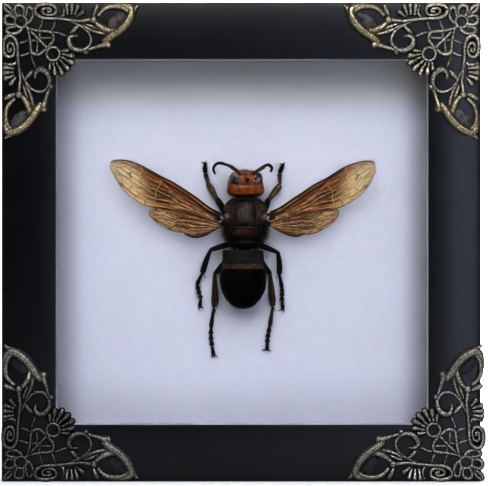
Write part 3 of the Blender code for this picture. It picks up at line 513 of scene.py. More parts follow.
# Plain surfaces: name, colour, roughness, specular level, colour of the patches, their scale, low and
# high, and the scale and strength of the relief
PLAIN_LOOKS = [
    ("tegula_shell", (0.26, 0.165, 0.085), 0.4, 0.5, (0.06, 0.03, 0.015), (900.0, 0.45, 0.6), (2000.0, 0.4)),
    # A thin pale tube standing for the light caught along the thorax's suture: painted highlight
    ("seam_highlight", (0.36, 0.30, 0.24), 0.5, 0.5, (0.20, 0.15, 0.11), (900.0, 0.45, 0.6), None),
    ("black_leg_shell", (0.009, 0.007, 0.006), 0.36, 0.25, (0.028, 0.018, 0.012), (1200.0, 0.45, 0.7),
     (3000.0, 0.35)),
    ("brown_leg_shell", (0.085, 0.045, 0.022), 0.45, 0.3, (0.030, 0.014, 0.008), (1000.0, 0.42, 0.62),
     (3000.0, 0.45)),
    ("olive_leg_shell", (0.17, 0.108, 0.062), 0.45, 0.3, (0.045, 0.028, 0.018), (900.0, 0.42, 0.62),
     (3000.0, 0.45)),
    ("antenna_base_shell", (0.085, 0.028, 0.022), 0.35, 0.5, (0.03, 0.012, 0.010), (1200.0, 0.42, 0.65),
     (2600.0, 0.25)),
    ("pale_hair", (0.16, 0.11, 0.07), 0.5, 0.5, (0.07, 0.045, 0.03), (600.0, 0.45, 0.6), None),
    ("dark_hair", (0.030, 0.018, 0.012), 0.5, 0.5, (0.075, 0.042, 0.024), (500.0, 0.5, 0.65), None),
    ("dark_vein", (0.030, 0.012, 0.007), 0.38, 0.5, (0.09, 0.028, 0.012), (700.0, 0.45, 0.7), (2600.0, 0.2)),
    ("amber_vein", (0.62, 0.31, 0.12), 0.35, 0.5, (0.16, 0.065, 0.025), (600.0, 0.42, 0.66), (2600.0, 0.15)),
    # The pale veins' colour is partly painted highlight, for veins catching the light
    ("pale_vein", (0.74, 0.53, 0.33), 0.4, 0.5, (0.24, 0.13, 0.06), (600.0, 0.4, 0.66), (2600.0, 0.15)),
]

# Camera and lights, in metres; the lights are (name, place, target, size, power, colour)
CAMERA_AT = (0.000892, -2.0655, 0.07466)
LENS = 483.0
EXPOSURE = 2.0
GAMMA = 0.68
PART_MIDDLE = (0.0, 0.0, 0.075)
LIGHTS = [
    ("key", (0.0, -0.56, 0.385), PART_MIDDLE, (0.7, 0.24), 0.385, WHITE),
    ("overhead", (0.0, 0.1, 1.3), (0.0, 0.0, 0.0), (1.2, 1.2), 1.0, WHITE),
    ("sheen", (0.35, -2.05, 0.12), PART_MIDDLE, (0.3, 0.7), 0.42, (0.82, 0.93, 1.2)),
    ("rear_fill", (0.4, 1.6, 0.9), PART_MIDDLE, (1.2, 0.8), 3.0, WHITE),
]


# Materials


def add_node(tree, kind, links=None, **settings):
    """A node with its settings, and its sockets given values or fed by other sockets."""
    node = tree.nodes.new(kind)
    for key, value in settings.items():
        setattr(node, key, value)
    for socket, value in (links or {}).items():
        if isinstance(value, bpy.types.NodeSocket):
            tree.links.new(value, node.inputs[socket])
        else:
            node.inputs[socket].default_value = value
    return node


def add_maths(tree, operation, *values):
    return add_node(tree, "ShaderNodeMath", dict(enumerate(values)), operation=operation).outputs[0]


def add_cloud(tree, place, scale, detail, roughness=0.5):
    links = {"Vector": place, "Scale": scale, "Detail": detail, "Roughness": roughness}
    return add_node(tree, "ShaderNodeTexNoise", links).outputs


def add_bump(tree, height, strength, distance):
    links = {"Height": height, "Strength": strength, "Distance": distance}
    return add_node(tree, "ShaderNodeBump", links).outputs["Normal"]


def new_group(name, inputs, output, output_kind):
    """An empty node group with number inputs and one output."""
    tree = bpy.data.node_groups.new(name, "ShaderNodeTree")
    for label, default in inputs.items():
        socket = tree.interface.new_socket(label, in_out="INPUT", socket_type="NodeSocketFloat")
        socket.default_value = default
    tree.interface.new_socket(output, in_out="OUTPUT", socket_type=output_kind)
    given = tree.nodes.new("NodeGroupInput").outputs
    result = tree.nodes.new("NodeGroupOutput").inputs[output]
    place = add_node(tree, "ShaderNodeTexCoord").outputs["Object"]
    return tree, given, result, place


def make_patches_group():
    """Soft patches: 0 below Low, 1 above High."""
    inputs = {"Scale": 400.0, "Low": 0.4, "High": 0.6}
    tree, given, result, place = new_group("patches", inputs, "Factor", "NodeSocketFloat")
    cloud = add_cloud(tree, place, given["Scale"], 4.0, 0.6)["Fac"]
    links = {"Value": cloud, "From Min": given["Low"], "From Max": given["High"]}
    tree.links.new(add_node(tree, "ShaderNodeMapRange", links).outputs["Result"], result)
    return tree


def make_relief_group():
    """Fine bumps of a given scale and strength."""
    inputs = {"Scale": 2000.0, "Strength": 0.3}
    tree, given, result, place = new_group("relief", inputs, "Normal", "NodeSocketVector")
    cloud = add_cloud(tree, place, given["Scale"], 3.0, 0.55)["Fac"]
    tree.links.new(add_bump(tree, cloud, given["Strength"], 0.0002), result)
    return tree


def make_level_group():
    """0 below Start and 1 above End up the frame, in millimetres, with a wavering edge."""
    inputs = {"Start": 0.0, "End": 1.0, "Waver": 0.5}
    tree, given, result, place = new_group("level", inputs, "Factor", "NodeSocketFloat")
    height = add_node(tree, "ShaderNodeSeparateXYZ", {0: place}).outputs["Z"]
    shift = add_maths(tree, "SUBTRACT", add_cloud(tree, place, 900.0, 2.0)["Fac"], 0.5)
    sway = add_maths(tree, "MULTIPLY", shift, given["Waver"])
    tall = add_maths(tree, "MULTIPLY_ADD", height, 1 / MM, sway)
    links = {"Value": tall, "From Min": given["Start"], "From Max": given["End"]}
    spread = add_node(tree, "ShaderNodeMapRange", links, interpolation_type="SMOOTHSTEP")
    tree.links.new(spread.outputs["Result"], result)
    return tree


PATCHES = make_patches_group()
RELIEF = make_relief_group()
LEVEL = make_level_group()


class Look:
    """A material, with short ways to feed its shader."""

    def __init__(self, name, colour, roughness, specular=0.5, sockets=()):
        self.name = name
        self.material = bpy.data.materials.new(name)
        self.material.use_nodes = True
        self.tree = self.material.node_tree
        self.shader = self.tree.nodes["Principled BSDF"]
        self.colour = colour
        plain = {"Base Color": (*colour, 1.0), "Roughness": roughness, "Specular IOR Level": specular}
        for socket, value in {**plain, **dict(sockets)}.items():
            self.shader.inputs[socket].default_value = value

    def node(self, kind, links=None, **settings):
        return add_node(self.tree, kind, links, **settings)

    def maths(self, operation, *values):
        return add_maths(self.tree, operation, *values)

    def feed(self, socket, source):
        self.tree.links.new(source, self.shader.inputs[socket])

    def paint(self):
        """The socket that feeds the base colour."""
        return self.shader.inputs["Base Color"].links[0].from_socket

    def place(self):
        return self.node("ShaderNodeTexCoord").outputs["Object"]

    def axes(self, place=None):
        """The three values of a place, which is the point in the frame unless another is given."""
        return self.node("ShaderNodeSeparateXYZ", {0: place or self.place()}).outputs

    def stretched(self, place, scale):
        return self.node("ShaderNodeMapping", {"Vector": place, "Scale": scale}).outputs[0]

    def group(self, tree, **values):
        """A shared group's one output."""
        return self.node("ShaderNodeGroup", values, node_tree=tree).outputs[0]

    def patches(self, scale, low, high):
        return self.group(PATCHES, Scale=scale, Low=low, High=high)

    def level(self, start, end, waver):
        return self.group(LEVEL, Start=start, End=end, Waver=waver)

    def spread(self, value, low, high, to_low=0.0, to_high=1.0):
        """A value taken from one range to another, with soft ends."""
        links = {"Value": value, "From Min": low, "From Max": high, "To Min": to_low, "To Max": to_high}
        return self.node("ShaderNodeMapRange", links, interpolation_type="SMOOTHSTEP").outputs["Result"]

    def times(self, product, *others):
        for other in others:
            product = self.maths("MULTIPLY", product, other)
        return product

    def away(self, value, centre):
        """How far a value is from a centre, either way."""
        return self.maths("ABSOLUTE", self.maths("SUBTRACT", value, centre))

    def mix(self, factor, first, second):
        """Two colours mixed; each is a colour or a socket."""
        first, second = (colour if isinstance(colour, bpy.types.NodeSocket) else (*colour, 1.0)
                         for colour in (first, second))
        return self.node("ShaderNodeMix", {0: factor, 6: first, 7: second}, data_type="RGBA").outputs[2]

    def tint(self, colour, scale, low, high):
        """Patches of another colour over the shader's own."""
        self.feed("Base Color", self.mix(self.patches(scale, low, high), self.colour, colour))

    def vary_roughness(self, scale, low, high):
        self.feed("Roughness", self.spread(self.patches(scale, 0.3, 0.7), 0.0, 1.0, low, high))

    def relief(self, scale, strength):
        self.feed("Normal", self.group(RELIEF, Scale=scale, Strength=strength))


def make_card(name, pale, blue=1.12):
    """Faintly mottled card; its blue is given as a share of its red."""
    card = Look(name, (pale, pale * 1.012, pale * blue), 0.9)
    card.tint((pale * 0.95, pale * 0.965, pale * blue * 0.96), 500.0, 0.3, 0.75)
    card.relief(2600.0, 0.08)
    return card


def make_backing_look():
    """Pale card with painted shade: darker towards its left and right edges and its lower edge, and greyer
    along its top, where the top rail's shadow falls.
    """
    card = make_card("pale_card", 0.72)
    x, _, z = card.axes()
    # Painted shade: the card darkens near the side walls and towards its lower edge
    painted_side_shade = card.spread(card.away(x, CARD_MIDDLE * MM), 0.0495, 0.0585, 1.0, 0.62)
    low = card.spread(z, 0.0175, 0.037, 0.775, 1.0)
    # Painted shade: a greyer, less blue tint along the top, under the top rail's shadow
    pale = card.mix(card.spread(z, 0.1165, 0.1235), card.paint(), (0.715, 0.71, 0.69))
    card.feed("Base Color", card.mix(card.times(painted_side_shade, low), BLACK, pale))
    return card


def make_rail_look():
    """Black satin paint, with a painted sheen towards the right of the two cross rails."""
    rails = Look("black_satin_wood", (0.0065, 0.0072, 0.0125), 0.26, 1.0)
    rails.tint((0.0075, 0.0082, 0.014), 90.0, 0.3, 0.7)
    x, _, z = rails.axes()
    cross_rails = rails.spread(rails.away(z, MIDDLE * MM), 0.0565, 0.0585)
    to_right = rails.spread(x, -0.01, 0.05)
    # Painted sheen: a lighter base colour towards the right of the cross rails, strongest low down, standing
    # in for the light's reflection
    painted_sheen = rails.times(to_right, cross_rails, rails.spread(z, 0.02, 0.13, 1.0, 0.45))
    rails.feed("Base Color", rails.mix(painted_sheen, rails.paint(), (0.0235, 0.0225, 0.030)))
    rails.vary_roughness(120.0, 0.235, 0.255)
    rails.relief(1200.0, 0.006)
    return rails


def make_glass_look():
    """Clear glass that casts no shadow."""
    glass = Look("clear_glass", (1.0, 1.0, 1.0), 0.0, sockets={"Transmission Weight": 1.0, "IOR": 1.45})
    shadow = glass.node("ShaderNodeLightPath").outputs["Is Shadow Ray"]
    clear = glass.node("ShaderNodeBsdfTransparent").outputs[0]
    blend = glass.node("ShaderNodeMixShader", {0: shadow, 1: glass.shader.outputs[0], 2: clear})
    glass.tree.links.new(blend.outputs[0], glass.tree.nodes["Material Output"].inputs["Surface"])
    return glass


def make_board_look():
    """Bare pressed-fibre board."""
    board = Look("pressed_board", (0.30, 0.19, 0.11), 0.8)
    fibres = add_cloud(board.tree, board.stretched(board.place(), (1.0, 1.0, 3.0)), 900.0, 5.0, 0.75)
    dark = board.spread(fibres["Fac"], 0.35, 0.65)
    board.feed("Base Color", board.mix(dark, (0.20, 0.115, 0.06), (0.36, 0.245, 0.15)))
    board.relief(1800.0, 0.35)
    return board


def make_zinc_look():
    zinc = Look("zinc_plate", (0.52, 0.53, 0.52), 0.34, sockets={"Metallic": 1.0})
    zinc.tint((0.38, 0.39, 0.38), 700.0, 0.4, 0.7)
    zinc.vary_roughness(500.0, 0.28, 0.46)
    zinc.relief(1200.0, 0.05)
    return zinc


def by_name(looks):
    """The materials, under the names given to their looks."""
    return {look.name: look.material for look in looks}


def make_frame_looks():
    # Each side's strip is a lighter or darker copy of one card: painted light and shade
    linings = [make_card(f"lining_card_{side}", pale, blue) for side, pale, blue in LININGS]
    return by_name([make_rail_look(), make_glass_look(), make_backing_look(), make_board_look(),
                    make_zinc_look(), *linings])


def casting_masks(bronze):
    """1 out on a casting's loops, on the crowns of its wires, on their ridges and off the low ground."""
    x, y, z = bronze.axes()
    outward = bronze.maths("MINIMUM", bronze.away(x, 0.0), bronze.away(z, MIDDLE * MM))
    loops = bronze.spread(outward, 0.048, 0.042)
    normal = bronze.node("ShaderNodeTexCoord").outputs["Normal"]
    facing = bronze.axes(normal)["Y"]
    proud = bronze.node("ShaderNodeAttribute", attribute_name="proud").outputs["Fac"]
    crown = bronze.times(bronze.spread(facing, 0.1, -0.4), bronze.spread(proud, HOLLOW, 0.0))
    ridge = bronze.times(bronze.spread(facing, -0.7, -0.95), bronze.spread(proud, 0.0, RIDGE),
                         bronze.spread(y, -0.0155, -0.0161))
    raised = bronze.spread(y, -0.0151, -0.0155)
    return loops, crown, ridge, raised


def make_bronze(name, dark, middle, gilded, bright, left):
    """Antique bronze: black in its hollows, rubbed bright on its ridges, warmer out on the loops, and
    darkened towards the left by painted shade.
    """
    bronze = Look(name, middle, 0.36, sockets={"Metallic": 0.7})
    loops, crown, ridge, raised = casting_masks(bronze)
    grain_depth = bronze.spread(loops, 0.0, 1.0, 0.25, 0.55)
    grains = bronze.times(bronze.patches(2600.0, 0.62, 0.5), grain_depth)
    metal = bronze.mix(grains, bronze.mix(loops, middle, gilded), dark)
    shade = bronze.mix(loops, dark, [value * 0.5 for value in gilded])
    low = bronze.mix(raised, dark, bronze.mix(crown, shade, metal))
    worn = bronze.spread(bronze.patches(1600.0, 0.35, 0.6), 0.0, 1.0, 0.3, 1.0)
    polished = bronze.mix(loops, bright, [(1.3 * a + b) / 2 for a, b in zip(gilded, bright)])
    rubbed = bronze.mix(bronze.times(ridge, worn), low, polished)
    # Painted shade: the castings' inner parts darken towards the left-hand side of the frame; the loops keep
    # their brightness
    painted_left_shade = bronze.spread(bronze.axes()["X"], -MIDDLE * MM, MIDDLE * MM, left, 1.0)
    lit = bronze.spread(loops, 0.0, 1.0, painted_left_shade, 1.0)
    bronze.feed("Base Color", bronze.mix(lit, BLACK, rubbed))
    bronze.vary_roughness(2200.0, 0.2, 0.36)
    bronze.relief(2600.0, 0.5)
    return bronze.material


def make_glue_look():
    """A thin milky film, paler on the upper corners."""
    glue = Look("dried_glue", (0.10, 0.105, 0.125), 0.25, sockets={"Alpha": 0.75})
    film = glue.mix(glue.spread(glue.axes()["Z"], 0.06, 0.09), (0.17, 0.17, 0.19), (0.46, 0.44, 0.43))
    glue.feed("Base Color", glue.mix(glue.patches(260.0, 0.42, 0.56), glue.colour, film))
    glue.relief(900.0, 0.3)
    return glue.material


def make_head_look():
    """A dull red face over a smooth orange nape with a dark rear edge."""
    coat = {"Coat Weight": 0.1, "Coat Roughness": 0.15}
    head = Look("head_shell", (0.32, 0.085, 0.018), 0.26, 0.35, coat)
    face = head.mix(head.patches(1500.0, 0.38, 0.62), (0.13, 0.038, 0.022), (0.36, 0.13, 0.06))
    nape = head.mix(head.patches(600.0, 0.35, 0.65), (0.19, 0.050, 0.003), (0.35, 0.115, 0.008))
    shell = head.mix(head.level(91.4, 92.8, 1.6), nape, face)
    head.feed("Base Color", head.mix(head.level(89.4, 90.5, 0.8), (0.035, 0.012, 0.006), shell))
    head.feed("Roughness", head.spread(head.level(91.9, 92.9, 0.8), 0.0, 1.0, 0.24, 0.45))
    head.relief(2600.0, 0.3)
    return head


def make_eye_look():
    """Dark glossy eye with fine facets, and grey patches that are partly its own mottling and partly painted
    highlight.
    """
    coat = {"Coat Weight": 0.4, "Coat Roughness": 0.12}
    eye = Look("eye", (0.022, 0.021, 0.023), 0.28, sockets=coat)
    # Grey patches: partly the eye's own mottling, partly painted highlight
    eye.tint((0.25, 0.225, 0.205), 480.0, 0.47, 0.64)
    facets = eye.node("ShaderNodeTexVoronoi", {"Vector": eye.place(), "Scale": 9000.0})
    eye.feed("Normal", add_bump(eye.tree, facets.outputs["Distance"], 0.25, 0.00003))
    return eye


def make_thorax_look():
    """Mottled black-brown, with russet flanks and a dark furrow along each side of the dome, and painted
    shade, near black, at its front under the head.
    """
    thorax = Look("thorax_shell", (0.045, 0.032, 0.024), 0.42, 0.3)
    black = (0.006, 0.004, 0.003)
    mottled = thorax.mix(thorax.patches(420.0, 0.4, 0.62), (0.026, 0.019, 0.015), (0.105, 0.09, 0.073))
    specks = thorax.mix(thorax.patches(2600.0, 0.64, 0.68), mottled, (0.42, 0.34, 0.24))
    dome = thorax.mix(thorax.level(78.0, 82.5, 3.0), black, specks)
    browned = thorax.mix(0.45, specks, (0.085, 0.045, 0.028))
    shoulder = thorax.mix(thorax.level(80.0, 84.5, 2.5), black, browned)

    x, _, z = thorax.axes()
    aside = thorax.away(x, (BODY_X + THORAX_MIDDLE) * MM)
    lean = thorax.maths("MULTIPLY_ADD", z, DOME_LEAN, aside)
    rim = (DOME_HALF + DOME_LEAN * (BODY_Z + DOME_LOW)) * MM
    shell = thorax.mix(thorax.spread(lean, rim, rim + 0.0005), dome, shoulder)
    russet = thorax.times(thorax.level(82.0, 85.5, 3.0), thorax.patches(700.0, 0.3, 0.7))
    shell = thorax.mix(russet, shell, (0.075, 0.032, 0.022))
    inner = thorax.spread(lean, rim - 0.0005, rim, 0.0, 0.85)
    furrow = thorax.times(inner, thorax.spread(lean, rim + 0.0006, rim), thorax.level(79.0, 80.0, 0.5))
    grooved = thorax.mix(furrow, shell, (0.008, 0.006, 0.005))
    # Painted shade: near black where the thorax runs under the head
    collar = thorax.level(86.4, 88.2, 0.8)
    thorax.feed("Base Color", thorax.mix(collar, grooved, (0.010, 0.007, 0.006)))
    thorax.relief(3000.0, 0.6)
    return thorax


def make_scutellum_look():
    plate = Look("scutellum_shell", (0.06, 0.025, 0.016), 0.42, 0.25)
    rust = plate.mix(plate.patches(900.0, 0.42, 0.62), (0.022, 0.005, 0.0015), (0.085, 0.027, 0.010))
    plate.feed("Base Color", plate.mix(plate.level(75.9, 77.7, 1.2), (0.007, 0.003, 0.002), rust))
    plate.relief(2600.0, 0.35)
    return plate


def make_abdomen_look():
    """Slate first ring, narrow tan edge, and a black rear."""
    abdomen = Look("abdomen_shell", (0.004, 0.0036, 0.0036), 0.4, 0.06)
    slate = abdomen.mix(abdomen.patches(350.0, 0.35, 0.7), (0.026, 0.025, 0.027), (0.048, 0.046, 0.048))
    tan = abdomen.mix(abdomen.patches(1500.0, 0.4, 0.65), (0.13, 0.085, 0.055), (0.045, 0.026, 0.016))
    rear = abdomen.mix(abdomen.patches(500.0, 0.45, 0.7), (0.0025, 0.0023, 0.0024), (0.010, 0.0095, 0.008))
    lower = abdomen.mix(abdomen.level(66.2, 66.9, 0.7), rear, tan)
    abdomen.feed("Base Color", abdomen.mix(abdomen.level(68.05, 68.35, 0.3), lower, slate))
    abdomen.feed("Roughness", abdomen.spread(abdomen.level(66.0, 67.0, 0.5), 0.0, 1.0, 0.3, 0.55))
    abdomen.relief(3000.0, 0.2)
    return abdomen


def show_through(look, cover, shadow):
    """How much of the card a membrane or a vein covers; its shadow is fainter than that."""
    rays = look.node("ShaderNodeLightPath").outputs
    light = look.maths("MULTIPLY_ADD", rays["Is Diffuse Ray"], 0.45, rays["Is Shadow Ray"])
    look.feed("Alpha", look.times(cover, look.spread(light, 0.0, 1.0, 1.0, shadow)))


def make_plain_look(name, colour, roughness, specular, patch, patches, relief):
    """One row of PLAIN_LOOKS; the veins also let light through their shadows."""
    look = Look(name, colour, roughness, specular)
    look.tint(patch, *patches)
    if relief:
        look.relief(*relief)
    if name.endswith("_vein"):
        show_through(look, 1.0, VEIN_SHADOW)
    return look


def wing_field(look, streaks, strength):
    """Shares of the span and the chord on a wing, and fine lengthwise pleats as a bump."""
    place = look.node("ShaderNodeUVMap", uv_map="wing").outputs["UV"]
    pleats = add_cloud(look.tree, look.stretched(place, (3.0, streaks, 1.0)), 1.0, 5.0, 0.65)["Fac"]
    look.feed("Normal", add_bump(look.tree, pleats, strength, 0.0005))
    span, chord, _ = look.axes(place)
    return place, span, chord, pleats


def creases(look, place, counts):
    """1 along fine crossing creases, 0 between them."""
    straight = look.stretched(place, (*counts, 1.0))
    cloud = add_cloud(look.tree, straight, 2.0, 2.0)["Color"]
    bent = look.node("ShaderNodeMix", {0: 0.22, 4: straight, 5: cloud}, data_type="VECTOR").outputs[1]
    cells = look.node("ShaderNodeTexVoronoi", {"Vector": bent, "Scale": 1.0}, feature="DISTANCE_TO_EDGE")
    return look.spread(cells.outputs["Distance"], 0.05, 0.0)


def make_forewing_look():
    """Streaked amber, clearer at the tip, darker along the front and at the root; the streaks are lighter on
    the pleats' crests, partly painted highlight.
    """
    wing = Look("forewing_membrane", (0.22, 0.10, 0.03), 0.34, 0.3)
    place, span, chord, pleats = wing_field(wing, 30.0, 0.75)
    # Streaks follow the pleats: partly the membrane's own streaking, partly painted highlight on the crests
    streak_and_sheen = wing.spread(pleats, 0.43, 0.58)
    field = wing.mix(streak_and_sheen, (0.07, 0.026, 0.006), (0.50, 0.26, 0.088))
    tip = wing.mix(streak_and_sheen, (0.58, 0.41, 0.20), (0.86, 0.69, 0.42))
    tip = wing.mix(creases(wing, place, (13.0, 7.0)), tip, (0.29, 0.17, 0.08))
    outer = wing.maths("MULTIPLY_ADD", chord, -0.24, span)
    field = wing.mix(wing.spread(outer, 0.42, 0.66), field, tip)
    stripe = wing.times(wing.spread(chord, 0.60, 0.74), wing.spread(span, 0.72, 0.54),
                        wing.spread(span, 0.10, 0.26))
    field = wing.mix(stripe, field, wing.mix(streak_and_sheen, (0.17, 0.060, 0.018), (0.42, 0.175, 0.055)))
    cell = wing.times(wing.spread(chord, 0.86, 0.92), wing.spread(span, 0.60, 0.66),
                      wing.spread(span, 0.78, 0.72))
    field = wing.mix(cell, field, (0.09, 0.035, 0.015))
    wash = wing.times(wing.spread(chord, 0.68, 0.98, 0.0, 0.6), wing.spread(span, 0.62, 0.76))
    field = wing.mix(wash, field, (0.40, 0.20, 0.065))
    root = wing.spread(span, 0.16, 0.02)
    wing.feed("Base Color", wing.mix(root, field, (0.06, 0.028, 0.016)))
    show_through(wing, wing.spread(span, 0.50, 0.92, 0.98, 0.60), MEMBRANE_SHADOW)
    return wing


def make_hindwing_look():
    """Streaked amber, paler outwards, with a dark edge behind the root; the streaks are lighter on the
    pleats' crests, partly painted highlight.
    """
    wing = Look("hindwing_membrane", (0.24, 0.14, 0.05), 0.36, 0.3)
    place, span, chord, pleats = wing_field(wing, 22.0, 0.7)
    # Streaks follow the pleats: partly the membrane's own streaking, partly painted highlight on the crests
    streak_and_sheen = wing.spread(pleats, 0.40, 0.60)
    field = wing.mix(streak_and_sheen, (0.09, 0.034, 0.011), (0.60, 0.38, 0.18))
    outer = wing.mix(streak_and_sheen, (0.30, 0.175, 0.072), (0.76, 0.56, 0.32))
    field = wing.mix(wing.spread(span, 0.45, 0.85), field, outer)
    field = wing.mix(creases(wing, place, (9.0, 5.0)), field, (0.13, 0.065, 0.025))
    rim = wing.times(wing.spread(chord, 0.22, 0.02), wing.spread(span, 0.52, 0.40))
    wing.feed("Base Color", wing.mix(rim, field, (0.07, 0.030, 0.014)))
    show_through(wing, wing.spread(span, 0.3, 0.95, 0.93, 0.72), MEMBRANE_SHADOW)
    return wing


def make_specimen_looks():
    plain = [make_plain_look(*row) for row in PLAIN_LOOKS]
    return by_name([make_head_look(), make_eye_look(), make_thorax_look(), make_scutellum_look(),
                    make_abdomen_look(), make_forewing_look(), make_hindwing_look(), *plain])


# Shapes


def smooth_path(points, steps):
    """A smooth run through points of any number of values."""
    last = len(points) - 1
    made = []
    for i in range(last):
        around = [points[min(max(i + k, 0), last)] for k in (-1, 0, 1, 2)]
        for j in range(steps):
            t = j / steps
            made.append(tuple(0.5 * (2 * q + (r - p) * t + (2 * p - 5 * q + 4 * r - s) * t ** 2
                                     + (3 * q - p - 3 * r + s) * t ** 3) for p, q, r, s in zip(*around)))
    made.append(tuple(points[-1]))
    return made


def thicker(path, share):
    return [(*place, radius * share) for *place, radius in path]


def between(start, end, share):
    return tuple(a + (b - a) * share for a, b in zip(start, end))


def along_path(path, share):
    """The point at a share of a path's length."""
    reach = [0.0]
    for start, end in zip(path, path[1:]):
        reach.append(reach[-1] + math.dist(start, end))
    want = share * reach[-1]
    for i in range(len(path) - 1):
        if reach[i + 1] >= want:
            part = (want - reach[i]) / max(reach[i + 1] - reach[i], 1e-9)
            return between(path[i], path[i + 1], part)
    return path[-1]


def arc(centre, radius, start, end, count):
    turn = math.radians(end - start) / (count - 1)
    angles = [math.radians(start) + turn * i for i in range(count)]
    return [(centre[0] + radius * math.cos(a), centre[1] + radius * math.sin(a)) for a in angles]


def round_hole(centre, shank_r):
    return arc(centre, shank_r + HOLE_CLEARANCE, 0, 345, 24)


def wire_circle(centre, radius, height, wire, count=28):
    """A closed path for a ring of wire."""
    angles = [math.tau * i / count for i in range(count)]
    return [(centre[0] + radius * math.cos(a), centre[1] + radius * math.sin(a), height, wire)
            for a in angles]


def bell(value, centre, width):
    return math.exp(-((value - centre) / width) ** 2)


def evaluated_mesh(data, modifiers=()):
    """The mesh that Blender makes of a curve, or of a mesh with modifiers."""
    item = bpy.data.objects.new("draft", data)
    bpy.context.scene.collection.objects.link(item)
    for kind, settings in modifiers:
        modifier = item.modifiers.new(kind.title(), kind)
        for key, value in settings.items():
            setattr(modifier, key, value)
    made = item.evaluated_get(bpy.context.evaluated_depsgraph_get())
    bm = bmesh.new()
    bm.from_mesh(bpy.data.meshes.new_from_object(made))
    bpy.data.objects.remove(item, do_unlink=True)
    return bm


def draw(curve, paths, closed):
    """The mesh of a curve with straight runs through (x, y, z, radius)."""
    for path in paths:
        spline = curve.splines.new("POLY")
        spline.points.add(len(path) - 1)
        spline.use_cyclic_u = closed
        for point, (x, y, z, radius) in zip(spline.points, path):
            point.co = (x, y, z, 1.0)
            point.radius = radius
    bm = evaluated_mesh(curve)
    bmesh.ops.remove_doubles(bm, verts=bm.verts, dist=WELD)
    return bm


def tubes(paths, resolution=2, closed=False):
    """Tubes along paths of (x, y, z, radius)."""
    curve = bpy.data.curves.new("tubes", "CURVE")
    curve.dimensions = "3D"
    curve.bevel_depth = 1.0
    curve.bevel_resolution = resolution
    curve.use_fill_caps = not closed
    return draw(curve, paths, closed)


def stamped_plate(outlines):
    """A thin plate with rounded edges; the outlines after the first are its holes."""
    curve = bpy.data.curves.new("plate", "CURVE")
    curve.dimensions = "2D"
    curve.fill_mode = "BOTH"
    curve.extrude = PLATE_THICK / 2 - PLATE_EDGE
    curve.bevel_depth = PLATE_EDGE
    curve.bevel_resolution = 2
    curve.offset = -PLATE_EDGE
    return draw(curve, [[(x, y, 0.0, 1.0) for x, y in outline] for outline in outlines], True)


def ball(centre, half_size, power=2.0, taper=0.0, detail=4):
    """A rounded block; it is wider towards -Y when the taper is negative."""
    bm = bmesh.new()
    bmesh.ops.create_icosphere(bm, subdivisions=detail, radius=1.0)
    for vert in bm.verts:
        length = sum(abs(value) ** power for value in vert.co) ** (1.0 / power)
        vert.co /= length
        vert.co.x *= 1.0 + taper * vert.co.y
    place = Matrix.Translation(centre) @ Matrix.Diagonal((*half_size, 1.0))
    bmesh.ops.transform(bm, matrix=place, verts=bm.verts)
    return bm


def joined(parts):
    """Several shapes in one mesh, each keeping the material slot of its faces."""
    whole = bmesh.new()
    for part in parts:
        mesh = bpy.data.meshes.new("part")
        part.to_mesh(mesh)
        part.free()
        whole.from_mesh(mesh)
        bpy.data.meshes.remove(mesh)
    return whole


def in_slot(bm, index):
    for face in bm.faces:
        face.material_index = index
    return bm


def fused(parts, voxel):
    """Overlapping shapes melted into one skin."""
    mesh = bpy.data.meshes.new("rough")
    bm = joined(parts)
    bm.to_mesh(mesh)
    bm.free()
    remesh = {"mode": "VOXEL", "voxel_size": voxel, "use_smooth_shade": True}
    return evaluated_mesh(mesh, [("REMESH", remesh)])


def turned(angle):
    return Matrix.Rotation(math.radians(angle), 4, "Z")


def upright(x, y, z, angle=0.0):
    """Local X and Y stand up in the frame, local Z faces the front."""
    return Matrix.Translation((x, y, z)) @ Matrix.Rotation(math.pi / 2, 4, "X") @ turned(angle)


def facing_wall(x, y, z, angle=0.0):
    """Local Z towards the wall, local Y up."""
    stood = turned(180) @ Matrix.Rotation(math.pi / 2, 4, "X")
    return Matrix.Translation((x, y, z)) @ stood @ turned(angle)


# Where the drawing of the specimen stands
SPECIMEN = upright(BODY_X, BODY_Y, BODY_Z)


def add_piece(name, bm, place, materials, node=None):
    """The finished piece, in metres at its place, riding on the one body."""
    bmesh.ops.transform(bm, matrix=Matrix.Scale(MM, 4) @ place, verts=bm.verts)
    bmesh.ops.recalc_face_normals(bm, faces=bm.faces)
    mesh = bpy.data.meshes.new(name)
    bm.to_mesh(mesh)
    bm.free()
    mesh.shade_smooth()
    mesh.set_sharp_from_angle(angle=math.radians(SHARP_ANGLE))
    for material in materials:
        mesh.materials.append(material)
    item = bpy.data.objects.new(name, mesh)
    bpy.context.scene.collection.objects.link(item)
    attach(item, "root")
    if node:
        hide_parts(node)
    return item


def dress(node, material):
    """A CAD part keeps its shape and gets its surface."""
    item = bpy.data.objects[node]
    item.data.materials.clear()
    item.data.materials.append(material)


# Frame and the fittings on its back


